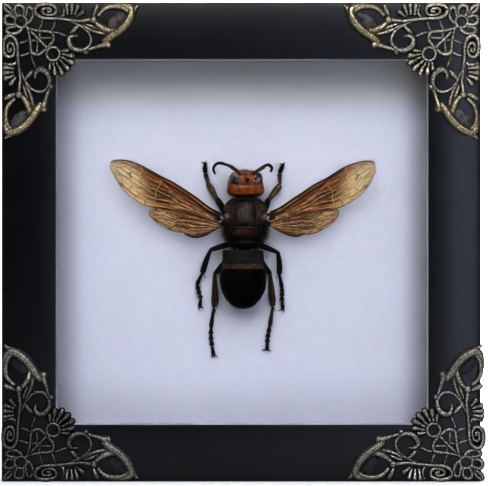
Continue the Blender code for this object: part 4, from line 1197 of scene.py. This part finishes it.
def make_rail(name, width, first_neighbour, last_neighbour, angle, material):
    """A moulding with rounded edges, mitred at both ends and turned to its side."""
    depth = BACK_Y - FRONT_Y
    section = arc((OUTER_ROUND, OUTER_ROUND), OUTER_ROUND, 180, 270, 8)
    section += arc((width - LIP_ROUND, LIP_ROUND), LIP_ROUND, 270, 360, 6)
    section += [(width, LIP_DEPTH), (width - LIP_WIDTH, LIP_DEPTH), (width - LIP_WIDTH, depth)]
    section += arc((BACK_ROUND, depth - BACK_ROUND), BACK_ROUND, 90, 180, 5)
    bm = bmesh.new()
    near = [bm.verts.new((0.0, FRONT_Y + back, across)) for across, back in section]
    swept = bmesh.ops.extrude_face_region(bm, geom=[bm.faces.new(near)])
    far = [vert for vert in swept["geom"] if isinstance(vert, bmesh.types.BMVert)]
    for verts, side, neighbour in ((near, -1, first_neighbour), (far, 1, last_neighbour)):
        for vert in verts:
            vert.co.x = side * (MIDDLE - vert.co.z * neighbour / width - MITRE_GAP)
    spin = Matrix.Rotation(math.radians(angle), 3, "Y")
    bmesh.ops.rotate(bm, cent=(0.0, 0.0, MIDDLE), matrix=spin, verts=bm.verts)
    add_piece(f"painted_{name}", bm, Matrix.Identity(4), [material], name)


def make_frame(looks):
    for rail in RAILS:
        make_rail(*rail, looks["black_satin_wood"])
    dress("glass_pane", looks["clear_glass"])
    dress("backing_board", looks["pale_card"])
    dress("back_panel", looks["pressed_board"])
    for side, _, _ in LININGS:
        dress(f"liner_{side}", looks[f"lining_card_{side}"])


def pin(head_r, head_height, shank_r, length, slotted):
    """A domed head on a plain tapered shank, with a driver slot in a screw's."""
    head = ball((0, 0, 0), (head_r, head_r, head_height), 2.3, detail=5)
    for vert in head.verts:
        vert.co.z = max(vert.co.z, 0.0)
        if slotted and abs(vert.co.x) < SLOT_WIDTH / 2 and vert.co.z > 0.0:
            vert.co.z = max(vert.co.z - SLOT_DEPTH, 0.1)
    bmesh.ops.dissolve_degenerate(head, dist=WELD, edges=head.edges)
    shank = bmesh.new()
    bmesh.ops.create_cone(shank, cap_ends=True, segments=20, radius1=shank_r * 0.6, radius2=shank_r,
                          depth=length, matrix=Matrix.Translation((0.0, 0.0, 0.05 - length / 2)))
    return joined([head, shank])


def make_turn_buttons(zinc):
    """On each rail an oval button, its long end over the panel, and its slotted screw."""
    half = (BUTTON_LENGTH - BUTTON_WIDTH) / 2
    screw_x = BUTTON_SCREW_SHARE * half
    outline = arc((half, 0), BUTTON_WIDTH / 2, -90, 90, 25)
    outline += arc((-half, 0), BUTTON_WIDTH / 2, 90, 270, 25)
    hole = round_hole((screw_x, 0), SCREW_SHANK_R)
    for side, out_x, out_z, width, along, inward, slot_angle in TURN_BUTTONS:
        out = MIDDLE - (width - LIP_WIDTH) / 2
        x = out_x * out + along
        z = MIDDLE + out_z * out
        place = facing_wall(x, PLATE_Y, z, inward) @ Matrix.Translation((-screw_x, 0, 0))
        button = stamped_plate([outline, hole])
        add_piece(f"oval_button_{side}", button, place, [zinc], f"turn_button_{side}")
        screw = pin(SCREW_HEAD_R, SCREW_HEAD_HEIGHT, SCREW_SHANK_R, SCREW_LENGTH, True)
        add_piece(f"slotted_screw_{side}", screw, facing_wall(x, HEAD_Y, z, slot_angle), [zinc],
                  f"turn_button_screw_{side}")


def make_hanger(zinc):
    """The toothed strip and its two nails across the top rail's back."""
    z = SIDE - (CROSS_RAIL - LIP_WIDTH) / 2
    half = HANGER_LENGTH / 2
    tall = HANGER_HEIGHT / 2
    shoulder = half - HANGER_TAPER
    tooth = HANGER_TOOTHED / HANGER_TEETH
    outline = [(-half, tall * 0.5), (-half, -tall * 0.5), (-shoulder, -tall)]
    for i in range(HANGER_TEETH):
        start = i * tooth - HANGER_TOOTHED / 2
        outline += [(start, -tall * 0.4), (start + tooth / 2, -tall * 0.85)]
    outline += [(HANGER_TOOTHED / 2, -tall * 0.4), (shoulder, -tall), (half, -tall * 0.5),
                (half, tall * 0.5), (shoulder, tall), (-shoulder, tall)]
    nails = {"left": -NAIL_SPACING / 2, "right": NAIL_SPACING / 2}
    holes = [round_hole((x, 0), NAIL_SHANK_R) for x in nails.values()]
    strip = stamped_plate([outline] + holes)
    add_piece("toothed_strip", strip, facing_wall(0, PLATE_Y, z), [zinc], "hanger_strip")
    for side, x in nails.items():
        nail = pin(NAIL_HEAD_R, NAIL_HEAD_HEIGHT, NAIL_SHANK_R, NAIL_LENGTH, False)
        add_piece(f"round_nail_{side}", nail, facing_wall(x, HEAD_Y, z), [zinc],
                  f"hanger_nail_{side}")


# Filigree corners


def shell_point(angle, reach, height, radius):
    turn = math.radians(45 + angle)
    return (SHELL_CENTRE + reach * math.cos(turn), SHELL_CENTRE + reach * math.sin(turn), height, radius)


def shell_paths():
    """Bulbs round the rim of the shell and slender petals inside them."""
    paths = []
    for angle, reach, half in SHELL_LOBES:
        for side in (-1, 1) if angle else (1,):
            paths.append([shell_point(side * angle, reach * share - 0.2, height, half * wide)
                          for share, height, wide in SHELL_BULB])
            paths.append([shell_point(side * (angle + 3), out, height, radius)
                          for out, height, radius in SHELL_PETAL])
    return paths


def mark_proud(bm):
    """Note how far each point stands out from those around it: less than zero in a hollow."""
    layer = bm.verts.layers.float.new("proud")
    bm.normal_update()
    near = {vert: [edge.other_vert(vert) for edge in vert.link_edges] for vert in bm.verts}
    for vert, others in near.items():
        middle = sum((other.co for other in others), Vector()) / len(others)
        vert[layer] = (vert.co - middle).dot(vert.normal)
    for _ in range(2):
        level = {vert: (vert[layer] + sum(other[layer] for other in others)) / (len(others) + 1)
                 for vert, others in near.items()}
        for vert, value in level.items():
            vert[layer] = value


def make_casting():
    """One filigree corner, its outer corner at zero and its arms along X and Y."""
    paths = []
    for mirrored, points in CASTING_WIRES:
        path = thicker(smooth_path(points, 5), WIRE_SCALE)
        paths.append(path)
        if mirrored:
            paths.append([(along, across, height, radius) for across, along, height, radius in path])
    paths += [smooth_path(path, 4) for path in shell_paths()]
    rings = [wire_circle((FLOWER_CENTRE, FLOWER_CENTRE), 1.88, 0.66, 0.52),
             wire_circle((SHELL_CENTRE, SHELL_CENTRE), 2.06, 0.74, 0.54)]
    fan = tubes([[shell_point(angle, 4.3, 0.0, 2.1) for angle in range(-75, 76, 10)]], 4)
    bmesh.ops.scale(fan, vec=(1.0, 1.0, 0.16), verts=fan.verts)
    bmesh.ops.translate(fan, vec=(0.0, 0.0, 0.2), verts=fan.verts)
    parts = [tubes(paths, 3), tubes(rings, 3, closed=True), fan]
    for across, along, height, radius in CASTING_BEADS:
        half = (radius, radius, min(radius, 1.0))
        parts += [ball((x, y, height), half, detail=3) for x, y in ((across, along), (along, across))]
    for across, along, half_x, half_y in CASTING_WEBS:
        parts.append(ball((across, along, WEB_HEIGHT), (half_x, half_y, WEB_HALF), detail=3))
        parts.append(ball((along, across, WEB_HEIGHT), (half_y, half_x, WEB_HALF), detail=3))
    bm = fused(parts, CASTING_VOXEL)
    bm.normal_update()
    for vert in bm.verts:
        if vert.normal.z < -0.25 or vert.co.z < CASTING_BACK:
            vert.co.z = CASTING_BACK
    raised = [vert for vert in bm.verts if vert.co.z > CASTING_BACK]
    bmesh.ops.smooth_vert(bm, verts=raised, factor=0.5, use_axis_x=True, use_axis_y=True, use_axis_z=True)
    mark_proud(bm)
    return bm


def place_casting(index):
    """Where a casting stands, counted as in CORNERS."""
    name, side, up = CORNERS[index]
    half = MIDDLE - CORNER_INSET
    overhang = OVERHANG if name == OVERHUNG else 0.0
    return upright(side * half + overhang, FRONT_Y, MIDDLE + up * half, index * 90)


def make_corners(upper_bronze, shaded_lower_bronze):
    casting = bpy.data.meshes.new("casting")
    make_casting().to_mesh(casting)
    for index, (name, _, up) in enumerate(CORNERS):
        bm = bmesh.new()
        bm.from_mesh(casting)
        # The lower corners take the darker copy of the bronze: painted shade
        bronze = upper_bronze if up > 0 else shaded_lower_bronze
        add_piece(f"filigree_corner_{name}", bm, place_casting(index), [bronze],
                  f"corner_{name}")


def make_glue(material):
    """A dried smear of glue in each loop of the castings, against the band."""
    parts = []
    chance = random.Random(11)
    swapped = Matrix(((0, 1, 0, 0), (1, 0, 0, 0), (0, 0, 1, 0), (0, 0, 0, 1)))
    for index in range(len(CORNERS)):
        for arm, mirror in enumerate((Matrix.Identity(4), swapped)):
            smear = ball((0, 0, 0), (3.5, 2.0 * chance.uniform(0.8, 1.2), 0.4))
            for vert in smear.verts:
                vert.co.y += 0.45 * noise.noise(Vector((vert.co.x * 0.9, index * 5.0 + arm, 0.0)))
            angle = turned(135 + chance.uniform(-8, 8))
            across, along = GLUE_AT
            spot = (across + chance.uniform(-0.4, 0.4), along + chance.uniform(-0.5, 0.5), 0.1)
            place = place_casting(index) @ mirror @ Matrix.Translation(spot) @ angle
            bmesh.ops.transform(smear, matrix=place, verts=smear.verts)
            parts.append(smear)
    add_piece("glue_smears", joined(parts), Matrix.Identity(4), [material])


# Specimen


def make_capsule():
    """The shell of the head, with its furrows."""
    capsule = ball((0, 0, 0), HEAD_HALF, 3.6, -0.17, 5)
    for vert in capsule.verts:
        x, y, z = vert.co
        top = max(0.0, z / HEAD_HALF[2])
        vert.co.z -= top * 0.22 * bell(y, -0.6, 0.35)
        vert.co.z -= top * 0.45 * bell(x, 0.0, 1.1) * bell(y, 2.6, 1.0)
        vert.co.z += top * 0.25 * bell(x, 0.0, 1.3) * bell(y, 0.9, 0.8)
        vert.co.z -= top * 0.08 * bell(x, 0.0, 0.12) * bell(y, -2.2, 1.6)
    return capsule


def make_eye(side):
    """One large eye, notched on its inner side."""
    eye = ball((0, 0, 0), EYE_HALF, 2.2)
    for vert in eye.verts:
        inward = max(0.0, -side * vert.co.x / EYE_HALF[0])
        upper = min(1.0, max(0.0, (vert.co.y + 0.1) / 1.2))
        vert.co.x += side * inward * (upper + 0.55 * bell(vert.co.y, 0.85, 0.4))
    bmesh.ops.translate(eye, vec=(side * 3.35, 1.35, 1.75), verts=eye.verts)
    return in_slot(eye, 1)


def make_head(looks):
    """Head capsule with its eyes, antenna sockets, jaws, simple eyes and lower face."""
    parts = [make_capsule()]
    for side in (-1, 1):
        socket = wire_circle((side * 1.55, 2.75), 0.5, 3.15, 0.2, 16)
        parts += [make_eye(side), tubes([socket], closed=True),
                  ball((side * 1.5, 1.6, -3.0), (1.5, 2.3, 1.3), detail=3),
                  ball((side * 0.42, 0.65, 4.56), SIMPLE_EYE, detail=3)]
    parts += [ball((0.0, 1.35, 4.5), SIMPLE_EYE, detail=3),
              in_slot(ball((0.0, 1.0, 4.3), (0.95, 0.85, 0.28), detail=3), 2),
              ball((0.0, 3.0, -0.6), (2.2, 1.5, 2.4), 2.2, detail=3)]
    roll = Matrix.Rotation(math.radians(HEAD_ROLL), 4, "Y")
    place = SPECIMEN @ Matrix.Translation(HEAD_CENTRE) @ roll
    materials = [looks["head_shell"], looks["eye"], looks["black_leg_shell"]]
    add_piece("hornet_head", joined(parts), place, materials, "head")


def make_trunk():
    """The thorax's skin, with its collar, dome and neck, and the grooves in its top."""
    trunk = [
        ball((THORAX_MIDDLE, 7.75, 5.4), (6.2, 7.5, 4.4), 2.3, 0.02),
        ball((THORAX_MIDDLE, 10.7, 7.9), (3.6, 4.4, 3.6), 2.4, -0.06),
        ball((THORAX_MIDDLE, 1.7, 6.1), (4.2, 2.6, 3.4), 2.2),
        ball((THORAX_MIDDLE, 15.4, 5.2), (3.0, 1.9, 2.6)),
        ball((THORAX_MIDDLE - 0.2, -0.3, 6.3), (1.7, 1.4, 1.6)),
        tubes([smooth_path(COLLAR, 5)], 4),
    ]
    for side in (-1, 1):
        trunk.append(ball((THORAX_MIDDLE + side * 4.7, 6.3, 7.4), (1.5, 2.6, 1.6)))
        trunk.append(ball((THORAX_MIDDLE + side * 4.9, 11.6, 6.9), (1.3, 2.0, 1.8)))
    skin = fused(trunk, TRUNK_VOXEL)
    for vert in skin.verts:
        x, y, z = vert.co
        aside = abs(x - THORAX_MIDDLE)
        rim = DOME_HALF - DOME_LEAN * (y - DOME_LOW)
        groove = 0.34 * bell(y, 6.5, 0.24) + 0.12 * bell(y, 2.3, 0.3)
        groove += 0.4 * bell(aside, rim, 0.3) * bell(y, 10.4, 4.2)
        groove += 0.10 * bell(aside, 1.7, 0.14) * bell(y, 10.5, 3.0)
        groove += 0.07 * bell(aside, 0.0, 0.12) * bell(y, 12.5, 2.0)
        vert.co.z -= min(1.0, max(0.0, (z - 6.0) / 3.0)) * groove
    return in_slot(skin, 0)


def make_plates():
    """The two raised plates behind the dome, furrowed down the middle and across."""
    plates = fused([ball((THORAX_MIDDLE, 4.45, 9.0), (4.05, 1.75, 1.75), 2.7),
                    ball((THORAX_MIDDLE, 2.6, 8.5), (3.5, 0.75, 1.2), 2.4)], PLATES_VOXEL)
    for vert in plates.verts:
        x, y, _ = vert.co
        vert.co.z -= 0.14 * bell(x, THORAX_MIDDLE, 0.2) + 0.12 * bell(y, 3.0, 0.15)
    return in_slot(plates, 1)


def make_wing_roots(side):
    """The stubs from the thorax to the hinges of the two wings on one side."""
    front = [(THORAX_MIDDLE + side * 5.6, 9.8, 7.0, 0.7), (side * 7.2, 10.2, 6.8, 0.5),
             (side * 8.4, 10.6, 6.6, 0.3)]
    rear = [(THORAX_MIDDLE + side * 5.4, 7.6, 6.5, 0.7), (side * 7.0, 7.3, 6.3, 0.4),
            (side * 8.0, 7.2, 6.1, 0.22)]
    return tubes([smooth_path(path, 4) for path in (front, rear)])


def make_thorax(looks):
    """Thorax with its plates, the lids and roots of the wings, and a pale line that is a painted highlight
    along the suture.
    """
    parts = [make_trunk(), make_plates()]
    for side in (-1, 1):
        lid = ball((THORAX_MIDDLE + side * 5.85, 9.6, 8.1), (1.0, 1.2, 0.8), 2.2)
        parts += [in_slot(lid, 2), make_wing_roots(side)]
    parts.append(in_slot(tubes([smooth_path(SEAM_HIGHLIGHT, 4)]), 3))
    materials = [looks[name] for name in ("thorax_shell", "scutellum_shell", "tegula_shell", "seam_highlight")]
    add_piece("hornet_thorax", joined(parts), SPECIMEN, materials, "thorax")


def make_abdomen(looks):
    """The turned outline, flattened and made a little uneven."""
    centre_x, centre_height = ABDOMEN_CENTRE
    bm = bmesh.new()
    verts = [bm.verts.new((radius, along, 0.0)) for radius, along in ABDOMEN_OUTLINE]
    edges = [bm.edges.new(pair) for pair in zip(verts, verts[1:])]
    bmesh.ops.spin(bm, geom=verts + edges, cent=(0, 0, 0), axis=(0, 1, 0), angle=math.tau, steps=72,
                   use_merge=True)
    bmesh.ops.remove_doubles(bm, verts=bm.verts, dist=0.001)
    for vert in bm.verts:
        x, y, z = vert.co
        vert.co.z = z * ABDOMEN_FLATNESS
        vert.co.x += 0.12 * noise.noise(Vector((x * 0.3, y * 0.4, 2.0)))
        vert.co.z += 0.12 * noise.noise(Vector((x * 0.4, y * 0.5, 7.0)))
    place = SPECIMEN @ Matrix.Translation((centre_x, 0.0, centre_height))
    add_piece("hornet_abdomen", bm, place, [looks["abdomen_shell"]], "abdomen")


def wing_point(wing, span, chord):
    """A place on a wing, with its droop and its pleats."""
    leading, trailing, height = wing
    x, y = between(along_path(trailing, span), along_path(leading, span), chord)
    inside = math.sin(math.pi * min(max(chord, 0.0), 1.0)) * min(1.0, span * 5.0)
    pleat = 0.16 * math.sin(chord * 42.0 + span * 3.0) * (1.0 - 0.6 * span)
    crumple = 0.28 * noise.noise(Vector((x * 0.16, y * 0.42, 3.0)))
    rise = (abs(x) - 7.0) * -WING_DROOP + inside * (pleat + crumple)
    return x, y, height + rise


def make_membrane(wing):
    """A thin pleated sheet, with the shares of the span and the chord as its UV."""
    bm = bmesh.new()
    bmesh.ops.create_grid(bm, x_segments=110, y_segments=64, size=0.5)
    layer = bm.loops.layers.uv.verify()
    for face in bm.faces:
        for loop in face.loops:
            loop[layer].uv = (loop.vert.co.x + 0.5, loop.vert.co.y + 0.5)
    for vert in bm.verts:
        vert.co = wing_point(wing, vert.co.x + 0.5, vert.co.y + 0.5)
    bm.normal_update()
    if sum(face.normal.z for face in bm.faces) < 0:
        bmesh.ops.reverse_faces(bm, faces=bm.faces)
    bmesh.ops.solidify(bm, geom=bm.faces[:] + bm.edges[:] + bm.verts[:], thickness=WING_THICK)
    return bm


def vein_path(wing, hinge_radius, far_radius, points):
    """A vein's way along the wing."""
    run = smooth_path(points, 8)
    return [(*wing_point(wing, span, chord), hinge_radius + (far_radius - hinge_radius) * i / (len(run) - 1))
            for i, (span, chord) in enumerate(run)]


def make_wing(name, looks):
    kind = name.split("_")[0]
    leading, trailing = WINGS[name]
    wing = (smooth_path(leading, 4), smooth_path(trailing, 4), WING_HEIGHTS[kind])
    parts = [make_membrane(wing)]
    for slot, *vein in VEINS[kind]:
        path = thicker(vein_path(wing, *vein), 1.0 if slot == DARK else PALER_VEIN_SCALE)
        parts.append(in_slot(tubes([path]), slot))
    materials = [looks[look] for look in (f"{kind}_membrane", "dark_vein", "amber_vein", "pale_vein")]
    item = add_piece(f"hornet_{name}", joined(parts), SPECIMEN, materials, name)
    item.data.uv_layers[0].name = "wing"


def foot_joint(start, end, first, last, swell):
    """One short joint of a foot, wider at its far end."""
    widths = ((0.0, first * 0.6), (0.12, first * 0.9), (0.6, (first + last) / 2 * swell),
              (0.88, last * swell * 1.1), (1.0, last * 0.7))
    return [(*between(start, end, share), radius) for share, radius in widths]


def foot_joints(foot, widths):
    """The five joints of a foot; the first and the last swell least."""
    return [foot_joint(foot[i], foot[i + 1], widths[i] * 0.75, widths[i], 1.05 if i in (0, 4) else 1.25)
            for i in range(5)]


def claw_path(end, tip):
    """A claw that bends down from the end of the foot."""
    x, y, z = between(end, tip, 0.6)
    return smooth_path([(*end, 0.2), (x, y, z + 0.25, 0.15), (*tip, 0.04)], 5)


def spine_paths(name, tibia, foot):
    """Short spines down the tibia and the foot."""
    chance = random.Random(name)
    spines = []
    for run, count in ((smooth_path(tibia, 6), 26), ([(*place, 0.4) for place in foot], 34)):
        lean = (Vector(run[-1][:3]) - Vector(run[0][:3])).normalized() * 0.3
        for i in range(count):
            *place, radius = along_path(run, 0.15 + 0.83 * i / count)
            angle = chance.uniform(0, math.tau)
            out = Vector((math.cos(angle), math.sin(angle) * 0.6, chance.uniform(0.1, 0.9))).normalized()
            root = Vector(place) + out * radius * 0.8
            tip = root + out * chance.uniform(0.3, 0.5) + lean
            spines.append([(*root, 0.05), (*((root + tip) / 2), 0.035), (*tip, 0.01)])
    return spines


def make_leg(name, looks):
    """Femur, tibia, five-jointed foot, spur, claws and spines; the paler joints are in slot 1."""
    femur, tibia, foot, spur, claws = LEGS[name]
    kind = name.split("_")[0]
    tibia = thicker(tibia, TIBIA_SCALE)
    foot = [tibia[-1][:3], *foot]
    shin = smooth_path(tibia, 6)
    heel, *joints = foot_joints(foot, FOOT_WIDTHS[kind])
    dark = [smooth_path(femur, 6), *joints] + [claw_path(foot[-1], tip) for tip in claws]
    brown = [[(*foot[0], 0.16), (*between(foot[0], spur, 0.5), 0.13), (*spur, 0.04)]]
    (dark if kind == "midleg" else brown).append(shin)
    (brown if name in PALE_HEELS else dark).append(heel)
    spines = spine_paths(name, tibia, foot)
    parts = [tubes(dark, 5), in_slot(tubes(brown, 5), 1), tubes(spines, 0)]
    paler = looks["olive_leg_shell" if kind == "foreleg" else "brown_leg_shell"]
    add_piece(f"hornet_{name}", joined(parts), SPECIMEN, [looks["black_leg_shell"], paler], name)


def make_antenna(name, looks):
    """A stout first joint and a ringed lash with a narrow tip."""
    points = thicker(ANTENNAE[name], ANTENNA_SCALE)
    scape = smooth_path(points[:3] + [between(points[2], points[3], 0.5)], 6)
    lash = smooth_path(points[2:], 10)
    ringed = []
    for i in range(111):
        share = i / 110
        *place, radius = along_path(lash, share)
        pinch = 1.0 - 0.22 * abs(math.cos(math.pi * share * 11)) ** 8
        ringed.append((*place, radius * pinch * (0.75 if share > 0.985 else 1.0)))
    parts = [tubes([scape], 5), in_slot(tubes([ringed], 5), 1)]
    materials = [looks["antenna_base_shell"], looks["black_leg_shell"]]
    add_piece(f"hornet_{name}", joined(parts), SPECIMEN, materials, name)


def make_hairs(looks):
    """Short pale hairs on the shoulders and the head, and a shaggy dark fringe down the sides."""
    chance = random.Random(5)
    paths = {"pale": [], "dark": []}
    for kind, count, centre, half, low, reach in HAIRS:
        pale = kind == "pale"
        for _ in range(count):
            angle = chance.uniform(0, math.tau)
            lift = chance.uniform(0.0, 0.75) if pale else chance.uniform(-0.2, 0.35)
            out = Vector((math.cos(angle), math.sin(angle), lift)).normalized()
            size = sum(abs(value) ** 2.5 for value in out) ** (1 / 2.5)
            root = Vector([c + o / size * h * 0.98 for c, o, h in zip(centre, out, half)])
            sway = Vector([chance.uniform(-0.5, 0.5) for _ in range(3)])
            length = chance.uniform(0.5, 1.0) * reach
            middle = root + (out + sway * 0.3) * length * 0.5
            tip = root + (out + sway) * length
            if root.z > low and (pale or abs(root.x) > FLANK_START and root.y < FLANK_END):
                paths[kind].append([(*root, 0.04), (*middle, 0.032), (*tip, 0.01)])
    parts = [tubes(paths["pale"], 0), in_slot(tubes(paths["dark"], 0), 1)]
    materials = [looks["pale_hair"], looks["dark_hair"]]
    add_piece("body_hairs", joined(parts), SPECIMEN, materials)


def make_specimen(looks):
    make_head(looks)
    make_thorax(looks)
    make_abdomen(looks)
    for name in WINGS:
        make_wing(name, looks)
    for name in LEGS:
        make_leg(name, looks)
    for name in ANTENNAE:
        make_antenna(name, looks)
    make_hairs(looks)


# Surroundings


def make_floor():
    """A pale disc, white to the camera, that throws little light back at the part."""
    bm = bmesh.new()
    bmesh.ops.create_circle(bm, cap_ends=True, segments=96, radius=0.6)
    mesh = bpy.data.meshes.new("floor")
    bm.to_mesh(mesh)
    bm.free()
    floor = Look("floor", (0.93, 0.93, 0.93), 0.9, sockets={"Emission Color": (1.0, 1.0, 1.0, 1.0)})
    rays = floor.node("ShaderNodeLightPath").outputs
    floor.feed("Base Color", floor.mix(rays["Is Diffuse Ray"], floor.colour, (0.2, 0.2, 0.2)))
    floor.feed("Emission Strength", floor.spread(rays["Is Camera Ray"], 0.0, 1.0, 0.0, 0.14))
    mesh.materials.append(floor.material)
    item = bpy.data.objects.new("floor", mesh)
    item.location.z = -0.0002
    bpy.context.scene.collection.objects.link(item)


def make_world():
    """White to the camera; as light, dark towards the front and dim and bluish elsewhere."""
    world = bpy.data.worlds.new("studio")
    bpy.context.scene.world = world
    world.use_nodes = True
    tree = world.node_tree
    background = tree.nodes["Background"].inputs
    direction = add_node(tree, "ShaderNodeTexCoord").outputs["Generated"]
    toward = add_node(tree, "ShaderNodeSeparateXYZ", {0: direction}).outputs["Y"]
    range_links = {"Value": toward, "From Min": -0.96, "From Max": -0.9, "To Min": 0.0, "To Max": 0.03}
    dim = add_node(tree, "ShaderNodeMapRange", range_links).outputs["Result"]
    seen = add_node(tree, "ShaderNodeLightPath").outputs["Is Camera Ray"]
    strength = add_node(tree, "ShaderNodeMix", {0: seen, 2: dim, 3: 1.0}, data_type="FLOAT").outputs[0]
    tree.links.new(strength, background["Strength"])
    tints = {0: seen, 6: (0.8, 0.93, 1.2, 1.0), 7: (1.0, 1.0, 1.0, 1.0)}
    tint = add_node(tree, "ShaderNodeMix", tints, data_type="RGBA").outputs[2]
    tree.links.new(tint, background["Color"])


def make_light(name, place, target, size, power, colour):
    lamp = bpy.data.lights.new(name, "AREA")
    lamp.shape = "RECTANGLE"
    lamp.size, lamp.size_y = size
    lamp.energy = power
    lamp.color = colour
    lamp.cycles.use_multiple_importance_sampling = False
    item = bpy.data.objects.new(name, lamp)
    item.location = place
    item.rotation_euler = (Vector(target) - Vector(place)).to_track_quat("-Z", "Y").to_euler()
    item.visible_camera = False
    bpy.context.scene.collection.objects.link(item)


def make_camera():
    lens = bpy.data.cameras.new("camera")
    lens.sensor_width = 36.0
    lens.lens = LENS
    lens.clip_end = 20.0
    item = bpy.data.objects.new("camera", lens)
    item.location = CAMERA_AT
    item.rotation_euler = (math.pi / 2, 0.0, 0.0)
    bpy.context.scene.collection.objects.link(item)
    bpy.context.scene.camera = item
    view = bpy.context.scene.view_settings
    view.view_transform = "Standard"
    view.exposure = EXPOSURE
    view.gamma = GAMMA


make_camera()
make_floor()
make_world()
for light in LIGHTS:
    make_light(*light)
frame_looks = make_frame_looks()
make_frame(frame_looks)
make_turn_buttons(frame_looks["zinc_plate"])
make_hanger(frame_looks["zinc_plate"])
make_corners(make_bronze(*UPPER_BRONZE), make_bronze(*LOWER_BRONZE))
make_glue(make_glue_look())
make_specimen(make_specimen_looks())
